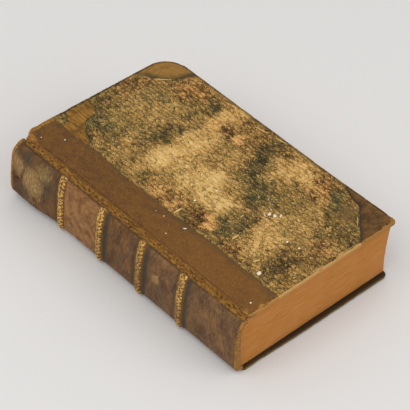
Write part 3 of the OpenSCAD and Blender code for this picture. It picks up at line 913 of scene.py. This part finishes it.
def spine_path(along, y):
    """Places and outward normals, in x and z, at distances round the spine and along the book."""
    share = np.asarray(along, float) / SPINE_LENGTH * CURVE_STEPS
    steps = np.arange(CURVE_STEPS + 1)
    tail, head = 1 - smooth(y, *TAIL_ZONE), smooth(y, *HEAD_ZONE)
    place, slope = np.zeros((2, len(share), 2))
    for weight, curve in zip((tail, 1 - tail - head, head), CURVES):
        way = np.gradient(curve, axis=0)
        for k in range(2):
            place[:, k] += weight * np.interp(share, steps, curve[:, k])
            slope[:, k] += weight * np.interp(share, steps, way[:, k])
    normal = table(slope[:, 1], -slope[:, 0])
    return place, normal / np.linalg.norm(normal, axis=1, keepdims=True)


def sweep(section, first, last, step):
    """Carries a closed section of (out, y) points round the spine. Returns points, side
    triangles, the sheet's own coordinates (along the spine, along the book, and out) and
    the number of points in a row."""
    along = np.linspace(first, last, max(3, round((last - first) / step) + 1))
    rows, columns = len(section), len(along)
    out, y = np.repeat(np.asarray(section, float), columns, axis=0).T
    along = np.tile(along, rows)
    place, normal = spine_path(along, y)
    place += normal * out[:, None]
    points = table(place[:, 0], y, place[:, 1])
    return points, grid_triangles(rows, columns, closed_rows=True), table(along, y, out), columns


def both_ends(first_end, columns):
    """The triangles at the first end of all rows, and the same at their last end."""
    return np.vstack([first_end, (first_end + columns - 1)[:, ::-1]])


def swept_solid(section, first, last, step):
    points, sides, sheet, columns = sweep(section, first, last, step)
    return points, outward(points, np.vstack([sides, both_ends(lid(section) * columns, columns)])), sheet


def swept_piece(name, section, look, node, first, last, step):
    points, triangles, sheet = swept_solid(section, first, last, step)
    return make_piece(name, points, triangles, look, "text_block", [node], {"sheet": sheet}, 40)


# Worn spots of the spine: along the spine from the front joint, y, both reaches, and strength
RUBBED = [
    (19, 208, 10, 8, 1.0), (24, 192, 14, 13, 1.0), (12, 184, 9, 9, 0.8), (40, 196, 10, 14, 0.6),
    (24, 75, 5, 5, 0.9), (8, 22, 5, 12, 0.5), (30, 20, 10, 10, 0.3), (34, 110, 8, 8, 0.25),
    (6, 80, 3, 12, 0.4),
]
HOLES = [(25, 203, 2.4, 1.3, 1.0), (29, 207, 1.2, 2.2, 0.8)]
SLATE = [(9, 201, 5, 9, 0.8), (10, 184, 6, 9, 0.7), (22, 180, 12, 6, 0.5), (33, 200, 5, 8, 0.4)]
# Dark red-brown at the outer edge of the head and at its lower side
RED = [(30, 211, 9, 5, 1.0), (42, 205, 7, 12, 1.0), (50, 190, 6, 20, 0.8)]
# Share of gilt left on each band, from tail to head
BAND_GILT = np.array([0.62, 0.7, 1.0, 1.0])
GILT_PITCH = 6.4
GILT_HALF = 3.2
GILT_WAVE = 1.6
# The tooled foot of a band and the groove beyond it: distance and half width
TOOL_DEPTH = 0.22
BAND_FOOT = (3.6, 0.9)
BAND_FOOT_FROM = 2.9
BAND_GROOVE = (5.2, 0.6)
# Dark lines tooled beside each band, and broad painted shade beyond them, deepest on the tail side where the
# band shades the leather: distance, half width and share
TOOLED_AND_SHADED = [(-4.7, 0.5, 1), (-6.4, 0.45, 1), (4.6, 0.4, 1), (-5.6, 2.6, 0.7), (5.2, 1.8, 0.35)]


def spots(places, along, y):
    return np.maximum.reduce([
        strength * np.exp(-((along - s) / reach_s) ** 2 - ((y - middle) / reach_y) ** 2)
        for s, middle, reach_s, reach_y, strength in places
    ])


def band_height(y):
    """Rise of the leather over the bands, with a tooled groove at each side."""
    away = np.abs(y - np.array(BANDS)[:, None])
    arc = np.sqrt(np.maximum(BAND_R ** 2 - away ** 2, 0)) - (BAND_R - BAND_RISE)
    beside = bell(away, *BAND_FOOT) * (away > BAND_FOOT_FROM) - bell(away, *BAND_GROOVE)
    return np.maximum(arc, 0).max(axis=0) + TOOL_DEPTH * beside.sum(axis=0)


def gilt_roll(along, away):
    """A leafy S-scroll under a thin fillet, as a share of gold at each place."""
    phase = along / GILT_PITCH * 2 * math.pi
    steep = np.sqrt(1 + (GILT_WAVE * 2 * math.pi / GILT_PITCH * np.cos(phase)) ** 2)
    stroke = 1 - smooth(np.abs(away - GILT_WAVE * np.sin(phase)) / steep, 0.5, 0.9)
    here = np.mod(along, GILT_PITCH)
    buds = [1 - smooth(np.hypot(here - GILT_PITCH * share, away + side), 0.9, 1.3)
            for share, side in ((0.27, 1.4), (0.77, -1.4))]
    return np.maximum.reduce([stroke, *buds, 0.9 * (1 - smooth(np.abs(away - 2.7), 0.2, 0.45))])


CAP_R = 1.5
LEATHER_STEP = 0.55
LEATHER_WAVES = 0.13
LEATHER_GRAIN = 0.07
HOLE_DEPTH = 0.9
HEAD_DENTS = 0.35
# Width of the caps over the ends of the leaves, at shares of the way round the spine
CAP_WIDTH = [(0, 1.9), (0.15, 2.0), (0.3, 2.4), (0.5, 3.5), (0.7, 4.7), (0.85, 4.6), (1, 3.0)]


def leather_section():
    """The rows of the leather's section: out, y, the share of the way in to the cap's
    edge, and whether the row is on the outer face."""
    turn = np.radians(np.arange(0, 91, 15))
    out, rise = -CAP_R * (1 - np.cos(turn)), CAP_R * (1 - np.sin(turn))
    inward = np.arange(1, 8) / 7
    head_under = BOARD_H - SPINE_LEATHER_T
    parts = [
        (out[:0:-1], rise[:0:-1], 0, 1), (0, np.arange(CAP_R, BOARD_H - CAP_R + 1e-6, LEATHER_STEP), 0, 1),
        (out[1:], BOARD_H - rise[1:], 0, 1), (0, BOARD_H, inward, 0), (0, head_under, inward[::-1], 0),
        (-SPINE_LEATHER_T, np.linspace(head_under, SPINE_LEATHER_T, 60), 0, 0),
        (0, SPINE_LEATHER_T, inward, 0), (0, 0, inward[::-1], 0),
    ]
    return np.vstack([table(*np.broadcast_arrays(*part)) for part in parts])


def cap_inward(points, share, along, y):
    """Carries the caps' flat parts from the round of the spine in to the caps' edge."""
    width = np.interp(along / SPINE_LENGTH, *zip(*CAP_WIDTH)) + 0.35 * rough_along(along, 5, 4, 84)
    place, normal = spine_path(along, y)
    target = place - normal * (CAP_R + (width - CAP_R) * share)[:, None]
    moved = share > 0
    points[moved, 0], points[moved, 2] = target[moved].T
    points[:, 1] -= moved * np.sign(y - BOARD_H / 2) * 0.25 * np.sin(share * math.pi)


def spine_leather(look):
    """One piece of leather with its bands and caps, and the wear of the photograph."""
    section = leather_section()
    points, sides, sheet, columns = sweep(section[:, :2], 0, SPINE_LENGTH, LEATHER_STEP)
    share, is_outer = np.repeat(section[:, 2:], columns, axis=0).T
    along, y = sheet[:, 0], sheet[:, 1]
    place = sheet[:, :2]
    cap_inward(points, share, along, y)
    _, normal = spine_path(along, y)
    holes = spots(HOLES, along, y)
    relief = LEATHER_WAVES * rough(place, 7, 4, 81) + LEATHER_GRAIN * noise(sheet, 1.7, 82)
    relief = relief * (1 - label_mask(along, y)) - HOLE_DEPTH * holes
    relief -= HEAD_DENTS * bell(y, 208, 5) * np.clip(rough(sheet, 6, 3, 83), 0, 1)
    banded = smooth(np.minimum(along, SPINE_LENGTH - along), 1.5, 4.5) * (1 + 0.6 * smooth(along, 15, 35))
    banded *= (y > CAP_R + 0.01) & (y < BOARD_H - CAP_R - 0.01)
    relief = np.where(is_outer, relief + band_height(y) * banded, 0)
    points[:, 0] += normal[:, 0] * relief
    points[:, 2] = np.maximum(points[:, 2] + normal[:, 1] * relief, SPINE_CLEAR_Z)

    # The two long edges at the joints are closed by strips from the outer face to the inner
    loop = np.arange(len(section)) * columns
    half = len(loop) // 2
    left, right = loop[:half], loop[::-1][:half]
    strips = np.vstack([table(left[:-1], right[:-1], left[1:]), table(right[:-1], right[1:], left[1:])])
    triangles = outward(points, np.vstack([sides, both_ends(strips, columns)]))

    band = np.argmin([np.abs(y - middle) for middle in BANDS], axis=0)
    away = y - np.array(BANDS)[band]
    fade = np.clip(BAND_GILT[band] + 0.45 * noise(place, 6, 90), 0, 1)
    gold = (1 - smooth(np.abs(away), GILT_HALF, GILT_HALF + 0.4)) * fade * smooth(along, 3.0, 4.6)
    label_space = smooth(np.minimum(y - LABEL_LOW, LABEL_HIGH - y), -0.5, 0.5)
    # Tooled lines beside the bands, with painted shade beyond them, deepest on their tail side
    slate = sum(part * bell(away, middle, half_width) for middle, half_width, part in TOOLED_AND_SHADED)
    slate += 0.35 * np.clip(noise(place, 16, 91), 0, 1) + spots(SLATE, along, y)
    rubbed = spots(RUBBED, along, y)
    slate = np.clip(slate, 0, 1) * (1 - 0.8 * label_space) * (1 - 0.5 * rubbed)
    ends = np.maximum(smooth(2.6 - y, 0, 2.6), smooth(y, BOARD_H - 4.6, BOARD_H - 0.6))
    values = {
        "sheet": sheet, "gold": gold, "motif": gilt_roll(along, away), "slate": slate, "rubbed": rubbed,
        "cap_edge": ends, "hole": holes ** 1.5, "red": spots(RED, along, y), "low": smooth(y, 120, 60),
        "label": label_space,
    }
    make_piece("spine_in_leather", points, triangles, look, "text_block", ["spine_leather"],
               values)


LABEL_SPACE = 2
LABEL_GAP = 0.6
LABEL_T = 0.25
LABEL_SIDE = 5.5
BAND_HALF = math.sqrt(BAND_R ** 2 - (BAND_R - BAND_RISE) ** 2)
LABEL_LOW = BANDS[LABEL_SPACE] + BAND_HALF + LABEL_GAP
LABEL_HIGH = BANDS[LABEL_SPACE + 1] - BAND_HALF - LABEL_GAP


def label_mask(along, y):
    """1 under the label, falling to 0 just beyond its edges."""
    across = smooth(y, LABEL_LOW - 1.5, LABEL_LOW) * (1 - smooth(y, LABEL_HIGH, LABEL_HIGH + 1.5))
    return across * smooth(np.minimum(along, SPINE_LENGTH - along), LABEL_SIDE - 1.5, LABEL_SIDE)


def title_label(look):
    rows = np.linspace(LABEL_LOW, LABEL_HIGH, 40)
    top = LABEL_T * smooth(np.minimum(rows - LABEL_LOW, LABEL_HIGH - rows), -0.2, 0.8) + 0.02
    section = np.vstack([table(top, rows), [[-0.15, LABEL_HIGH], [-0.15, LABEL_LOW]]])
    swept_piece("label_on_spine", section, look, "title_label",
                LABEL_SIDE, SPINE_LENGTH - LABEL_SIDE, 0.8)


CORD_GAP = 0.3
BEAD_CUT = 0.5


def hidden_spine_pieces(lining_look, cord_look, endband_look):
    """Lining, cords and endbands under the leather, settled with it."""
    inset = SPINE_LEATHER_T + GLUE_T
    cord_r = BAND_R - inset
    half = math.sqrt(cord_r ** 2 - (BAND_R - BAND_RISE - inset - LINING_T) ** 2)
    stops = [TEXT_TAIL, *BANDS, BOARD_H - TEXT_TAIL]
    points, faces, total = [], [], 0
    for k in range(BAND_COUNT + 1):
        low = stops[k] + (half + 0.1 if k else 0)
        high = stops[k + 1] - (half + 0.1 if k < BAND_COUNT else 0)
        rows = np.linspace(low, high, 10)
        section = [(-inset, y) for y in rows] + [(-inset - LINING_T, y) for y in rows[::-1]]
        strip, triangles, _ = swept_solid(section, ROUND_FROM, ROUND_TO, 1.5)
        points.append(strip)
        faces.append(triangles + total)
        total += len(strip)
    make_piece("lining_of_spine", np.vstack(points), np.vstack(faces), lining_look, "text_block",
               ["spine_lining"], None, 40)
    limit = math.asin(half / cord_r)
    for k, middle in enumerate(BANDS):
        section = [(BAND_RISE - BAND_R + cord_r * math.cos(a), middle + cord_r * math.sin(a))
                   for a in np.linspace(-limit, limit, 14)]
        swept_piece(f"cord_{k + 1}", section, cord_look, f"sewing_cord_{k + 1}",
                    CORD_GAP, SPINE_LENGTH - CORD_GAP, 1.0)
    bead_r = (TEXT_TAIL - inset) / (1 + BEAD_CUT)
    limit = math.acos(BEAD_CUT)
    bead = [(bead_r * (math.sin(a) - 1) - inset, TEXT_TAIL + bead_r * (math.cos(a) - BEAD_CUT))
            for a in np.linspace(limit, 2 * math.pi - limit, 14)]
    for end, section in (("tail", bead), ("head", [(out, BOARD_H - y) for out, y in bead][::-1])):
        swept_piece(f"endband_at_{end}", section, endband_look, f"{end}_endband",
                    ROUND_FROM, ROUND_TO, 0.8)


# The leaves

LEAF_ROWS = 118
LEAF_COLUMNS = 110
LEAF_LENGTH_STEPS = 150
FORE_HOLLOW = 1.5
LEAF_CORNER_R = 13
LEAF_STRETCH = [0.12, 0.12, 1]
LEAF_WAVES = [(0.10, 2.6, 31), (0.08, 0.9, 32)]
LEAF_JITTER = 0.07
TEXT_JOINT = 0.2


def back_of_leaves(z, y):
    """x of the rounded backs of the leaves at each height."""
    place, normal = spine_path(np.linspace(0, SPINE_LENGTH, 120), np.full(120, y))
    place = place - normal * (SPINE_LEATHER_T + 2 * GLUE_T + LINING_T)
    falling = np.concatenate([[True], place[1:, 1] < np.minimum.accumulate(place[:, 1])[:-1]])
    x, height = place[falling][::-1].T
    return np.minimum(np.interp(z, height, x, left=TEXT_JOINT, right=TEXT_JOINT), TEXT_JOINT)


def leaves(look):
    """The sewn leaves: a ring of upright columns, with a point at each gathering's edge."""
    z = np.linspace(TEXT_LOW, TEXT_TOP, LEAF_ROWS)
    half = (TEXT_TOP - TEXT_LOW) / 2
    radius = (half ** 2 + FORE_HOLLOW ** 2) / (2 * FORE_HOLLOW)
    fore = TEXT_FORE - FORE_HOLLOW + radius - np.sqrt(radius ** 2 - (z - BOOK_T / 2) ** 2)
    across = np.linspace(0, 1, LEAF_COLUMNS)
    down = np.linspace(1, 0, LEAF_LENGTH_STEPS)[1:-1]
    low, top, r = TEXT_TAIL, BOARD_H - TEXT_TAIL, LEAF_CORNER_R
    low_back, top_back = back_of_leaves(z, low), back_of_leaves(z, top)
    ring = [("tail", low_back + (fore - low_back) * share, low) for share in across]
    ring += [("fore", fore, low + (top - r - low) * share) for share in down[::-1]]
    ring += [("corner", fore - r * (1 - math.cos(a)), top - r * (1 - math.sin(a)))
             for a in np.radians(np.linspace(0, 90, 9))[:-1]]
    ring += [("head", top_back + (fore - r - top_back) * share, top) for share in across[::-1]]
    ring += [("back", back_of_leaves(z, y), y) for y in low + (top - low) * down]
    points = np.vstack([table(x, np.full(LEAF_ROWS, y), z) for _, x, y in ring])
    side = np.repeat([name for name, _, _ in ring], LEAF_ROWS)
    relief = LEAF_JITTER * np.tile(NOISE_TABLE[100:100 + LEAF_ROWS], len(ring))
    relief += waves(points * LEAF_STRETCH, LEAF_WAVES)
    points[:, 1] += np.where(side == "tail", relief, np.where(side == "head", -relief, 0))
    points[:, 0] += bump(points, *LEAF_CORNER_BUMP) - np.where(side == "fore", np.abs(relief), 0)
    ends = both_ends(lid(points[::LEAF_ROWS, :2]) * LEAF_ROWS, LEAF_ROWS)[:, ::-1]
    triangles = outward(points, np.vstack([grid_triangles(len(ring), LEAF_ROWS, closed_rows=True), ends]))
    make_piece("leaves", points, triangles, look, "text_block", ["text_block"],
               {"leaf": points}, 50)


# The joints, bridged by worn leather from the spine to each board

JOINT_PATH = [(-4.4, 46.45), (-3.4, 46.95), (-2.4, 47.2), (-1.5, 47.4), (-0.8, 48.1), (-0.5, 49.1),
              (-0.3, 49.8), (0.15, 50.3), (0.6, 50.45), (1.0, 50.2)]
JOINT_LEATHER_T = 0.45
JOINT_COLUMNS = 15
JOINT_STEP = 0.7
JOINT_TAIL_GAP = 1.2
JOINT_HEAD_GAP = 4.0
JOINT_RELIEF = 0.16
JOINT_RAGGED = 0.35
JOINT_FIXED_Z = 46.9
JOINT_FREE_Z = 48.3


def joint_leather(look, front):
    """The leather of one joint. It is made for the front, and turned over for the back."""
    which, seed, top_gap = ("front", 101, 0.15) if front else ("back", 111, -0.05)
    path = np.array(JOINT_PATH)
    width = lengths(path)[-1]
    across = np.linspace(0, width, JOINT_COLUMNS)
    line = resample(path, across)
    rows = np.arange(JOINT_TAIL_GAP, BOARD_H - JOINT_HEAD_GAP, JOINT_STEP)
    y = np.repeat(rows, JOINT_COLUMNS)
    row = table(across, np.sin(np.linspace(0, math.pi, JOINT_COLUMNS)), line, leftward(line))
    across, bulge, x, z, out_x, out_z = np.tile(row, (len(rows), 1)).T
    relief = JOINT_RELIEF * rough(table(across, y * 0.6), 2.6, 4, seed) * np.clip(bulge + 0.2, 0, 1)
    x += out_x * relief + JOINT_RAGGED * rough_along(y, 9, 3, seed + 2) * smooth(across, width * 0.7, width)
    z = np.minimum(z + out_z * relief, BOOK_T + top_gap)
    points = table(x, y, z)
    triangles = grid_triangles(len(rows), JOINT_COLUMNS)
    if vertex_normals(points, triangles)[:, 2].mean() < 0:
        triangles = triangles[:, ::-1]
    points, triangles, values = shell(points, triangles, {"across": across / width}, JOINT_LEATHER_T)
    fixed, free = JOINT_FIXED_Z, JOINT_FREE_Z
    if not front:
        points[:, 2] = BOOK_T - points[:, 2]
        triangles = triangles[:, ::-1]
        fixed, free = BOOK_T - fixed, BOOK_T - free
    piece = make_piece(f"{which}_joint_of_leather", points, triangles, look, None, None,
                       values)
    x = JOINT_X * MM
    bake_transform(piece)


# Specks of pale paint and flakes of paper on the front board: x, y, length, width and turn

SPECKS = [
    (5.8, 203.8, 0.9, 0.8, 0), (16.2, 192.1, 1.1, 1.0, 0), (8.8, 85.1, 1.0, 0.9, 0),
    (60.8, 93.2, 1.5, 1.2, 0), (29.8, 22.5, 3.4, 2.6, 20), (62.9, 31, 1.8, 1.5, 0),
    (64.7, 22.1, 1.5, 1.3, 0), (8.2, 7.7, 1.4, 1.2, 0), (18.3, 97.5, 1.0, 0.8, 0),
    (17.6, 104.3, 0.7, 0.6, 0), (43.5, 95.7, 1.9, 1.5, 0), (71.8, 56, 2.8, 2.0, 10),
    (73.3, 52.7, 3.2, 2.2, 40), (20.9, 80.6, 2.4, 1.1, -50), (68.7, 57.2, 2.4, 0.6, 60),
    (67, 54, 1.1, 0.5, 10), (75.6, 58.5, 2.1, 0.5, 75), (76.4, 50.3, 2.6, 1.2, 25),
    (71, 47.8, 1.8, 0.6, -30), (79.5, 61, 1.6, 0.4, 100), (81, 66.5, 1.3, 0.4, 80),
    (84.5, 63, 0.8, 0.5, 0), (78, 72, 1.5, 0.4, 95), (62.5, 61.5, 1.0, 0.5, 40),
]
FLAKES = [
    (29, 95.6, 7.0, 1.4, 0), (40.5, 55, 6.0, 1.4, 0), (46, 41, 5.0, 1.3, 0),
    (36.3, 31.3, 5.2, 1.2, -20), (124.6, 118, 10, 0.7, -80), (127.2, 101.5, 11, 0.8, -82),
    (108, 198, 11, 0.7, -42), (111, 15.5, 9, 0.4, 43), (62, 35, 4, 0.8, 10),
    (96, 79, 3.5, 0.8, -15), (57, 66, 3.5, 0.7, 5),
]
SPECK_T = 0.12
SPECK_SIDES = 22
SPECK_SHARES = np.array([0.25, 0.5, 0.75, 1, 1])
SPECK_FOOT = -0.15


def spots_on_board(name, places, look, cover, thickness):
    """Thin blobs with uneven outlines that lie on the front board. Each is built as its
    middle, rings of growing share of its outline, and a foot under the last ring."""
    angle = np.arange(SPECK_SIDES) / SPECK_SIDES * 2 * math.pi
    circle = table(np.cos(angle), np.sin(angle))
    rings = len(SPECK_SHARES)
    first = 1 + np.arange(SPECK_SIDES) * rings
    rim = first + rings - 1
    pattern = np.vstack([
        table(first * 0, first, np.roll(first, -1)),
        grid_triangles(SPECK_SIDES, rings, closed_rows=True)[:, ::-1] + 1,
        table(rim[2:] * 0 + rim[0], rim[2:], rim[1:-1]),
    ])
    rise = thickness * np.sqrt(1 - SPECK_SHARES ** 2) + 0.01
    rise[-1] = SPECK_FOOT
    rise = np.concatenate([[thickness + 0.01], np.tile(rise, SPECK_SIDES)])
    points, faces = [], []
    for k, (x, y, length, width, turn) in enumerate(places):
        wobble = 1 + 0.18 * noise(circle * 2 + k * 7, 1.0, 120)
        c, s = math.cos(math.radians(turn)), math.sin(math.radians(turn))
        outline = circle * wobble[:, None] * [length / 2, width / 2] @ [[c, s], [-s, c]]
        blob = (outline[:, None] * SPECK_SHARES[:, None]).reshape(-1, 2)
        xy = np.vstack([[(x, y)], blob + [x, y]])
        raised = x < np.interp(y, [p[1] for p in SIDE_LINE], [p[0] for p in SIDE_LINE])
        points.append(table(xy, cover.height(xy, raised) + BOOK_T + rise))
        faces.append(pattern + k * len(xy))
    make_piece(name, np.vstack(points), np.vstack(faces), look, "front_cover", None)


# Camera, floor and light

CAMERA_PLACE = (-0.67142, -0.63965, 0.90635)
CAMERA_HEADING = 43.365
CAMERA_DOWN = 43.449
CAMERA_ROLL = 5.157
CAMERA_LENS = 171.0
SENSOR = 36
FLOOR_COLOUR = "#dad8d6"
FLOOR_HALF = 6
FLOOR_Z = -0.0001
LAMP_SIZE = 1.6
LAMPS = [("key_lamp", (-1.2, -0.1, 1.6), 15), ("front_lamp", (0.6, -1.6, 1.2), 10)]
LAMP_AIM = Vector((0, 0, 0.03))
SOFT_LIGHT = 0.72


def add_object(name, data):
    thing = bpy.data.objects.new(name, data)
    bpy.context.scene.collection.objects.link(thing)
    return thing


def add_camera():
    h, e, a = (math.radians(v) for v in (CAMERA_HEADING, CAMERA_DOWN, CAMERA_ROLL))
    forward = Vector((math.cos(h) * math.cos(e), math.sin(h) * math.cos(e), -math.sin(e)))
    level = forward.cross(Vector((0, 0, 1))).normalized()
    upright = level.cross(forward)
    right = math.cos(a) * level + math.sin(a) * upright
    up = math.cos(a) * upright - math.sin(a) * level
    data = bpy.data.cameras.new("camera")
    data.lens = CAMERA_LENS
    data.sensor_width = SENSOR
    data.clip_end = 50
    camera = add_object("camera", data)
    turn = Matrix((right, up, -forward)).transposed().to_4x4()
    camera.matrix_world = Matrix.Translation(CAMERA_PLACE) @ turn
    bpy.context.scene.camera = camera


def add_floor():
    mesh = bpy.data.meshes.new("floor")
    corners = [(x * FLOOR_HALF, y * FLOOR_HALF, 0) for x, y in ((-1, -1), (1, -1), (1, 1), (-1, 1))]
    mesh.from_pydata(corners, [], [(0, 1, 2, 3)])
    look = Look("floor", specular=0.1)
    look.colour = FLOOR_COLOUR
    mesh.materials.append(look.finish(0.9))
    floor = add_object("floor", mesh)
    floor.location.z = FLOOR_Z


def add_light():
    for name, place, watts in LAMPS:
        data = bpy.data.lights.new(name, "AREA")
        data.size = LAMP_SIZE
        data.energy = watts
        lamp = add_object(name, data)
        lamp.location = place
        lamp.rotation_euler = (LAMP_AIM - Vector(place)).to_track_quat("-Z", "Y").to_euler()
    world = bpy.data.worlds.new("world")
    bpy.context.scene.world = world
    world.use_nodes = True
    nodes, links = world.node_tree.nodes, world.node_tree.links
    nodes.clear()
    path = nodes.new("ShaderNodeLightPath")
    seen_by = path.outputs["Is Camera Ray"]
    for kind in ("Is Glossy Ray", "Is Transmission Ray"):
        either = nodes.new("ShaderNodeMath")
        either.operation = "MAXIMUM"
        links.new(seen_by, either.inputs[0])
        links.new(path.outputs[kind], either.inputs[1])
        seen_by = either.outputs[0]
    pick = nodes.new("ShaderNodeMixShader")
    links.new(seen_by, pick.inputs[0])
    for slot, (colour, strength) in enumerate((((1, 1, 1, 1), SOFT_LIGHT), (tint(FLOOR_COLOUR), 1.0)), 1):
        light = nodes.new("ShaderNodeBackground")
        light.inputs[0].default_value = colour
        light.inputs[1].default_value = strength
        links.new(light.outputs[0], pick.inputs[slot])
    links.new(pick.outputs[0], nodes.new("ShaderNodeOutputWorld").inputs[0])
    bpy.context.scene.view_settings.view_transform = "Standard"


def dress_node(name, look):
    """Gives a CAD node that keeps its shape a material of its own."""
    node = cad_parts[name]
    if not node.material_slots:
        node.data.materials.append(look)
    for place in node.material_slots:
        place.material = look


add_camera()
add_floor()
add_light()

paper, side = marbled_paper_look(), side_leather_look()
tail_corner = corner_leather_look(
    "tail_corner_leather", ("#463018", "#664724", "#8a6536"), "#332c1c", "#9a6c32")
head_corner = corner_leather_look(
    "head_corner_leather", ("#926b2f", "#80592a", "#ab8346"), "#4a4124", "#a87a3c")
front = front_covering((paper, side, tail_corner, head_corner))
back_covering((paper, side, tail_corner, tail_corner))
spine_leather(spine_leather_look())
title_label(mottled_look(
    "label_leather", ("#6c4627", "#9f7447"), (5, 5, 0.7), (0.3, 0.7), (), 0.5, 0.05, "leather"))
hidden_spine_pieces(endpaper_look(), thread_look("hemp", "#8f7a4c", "#b59d6a"),
                    thread_look("endband_thread", "#8c7440", "#c2ab74", 0.7))
leaves(leaf_look())
worn_joint = joint_look()
joint_leather(worn_joint, True)
joint_leather(worn_joint, False)
paint = mottled_look("paint_specks", ("#e9dfca", "#d8c7a4"), (0.8,), roughness=0.5)
spots_on_board("paint_specks", SPECKS, paint, front, SPECK_T)
flake = mottled_look("paper_flakes", ("#d9b878", "#c59a59"), (0.8, 3))
spots_on_board("paper_flakes", FLAKES, flake, front, SPECK_T / 2)

pasteboard = mottled_look(
    "pasteboard", ("#523a1b", "#a0712f"), (0.9, 4, 0.65, (1.2, 0.12, 1)), (0.38, 0.6),
    [("#936a2d", 5, 4, 0.6, 0.42, 0.6, 0.4), ("#5d4420", 7, 4, 0.6, 0.48, 0.62, 0.75)], depth=0.15)
endpaper = endpaper_look()
hemp = thread_look("cord_slips", "#8f7a4c", "#b59d6a")
kept = {"board": pasteboard, "cord_slips": hemp, "pastedown": endpaper, "flyleaf": endpaper}
for name, look in kept.items():
    dress_node(f"front_{name}", look)
    dress_node(f"back_{name}", look)

bpy.context.view_layer.update()
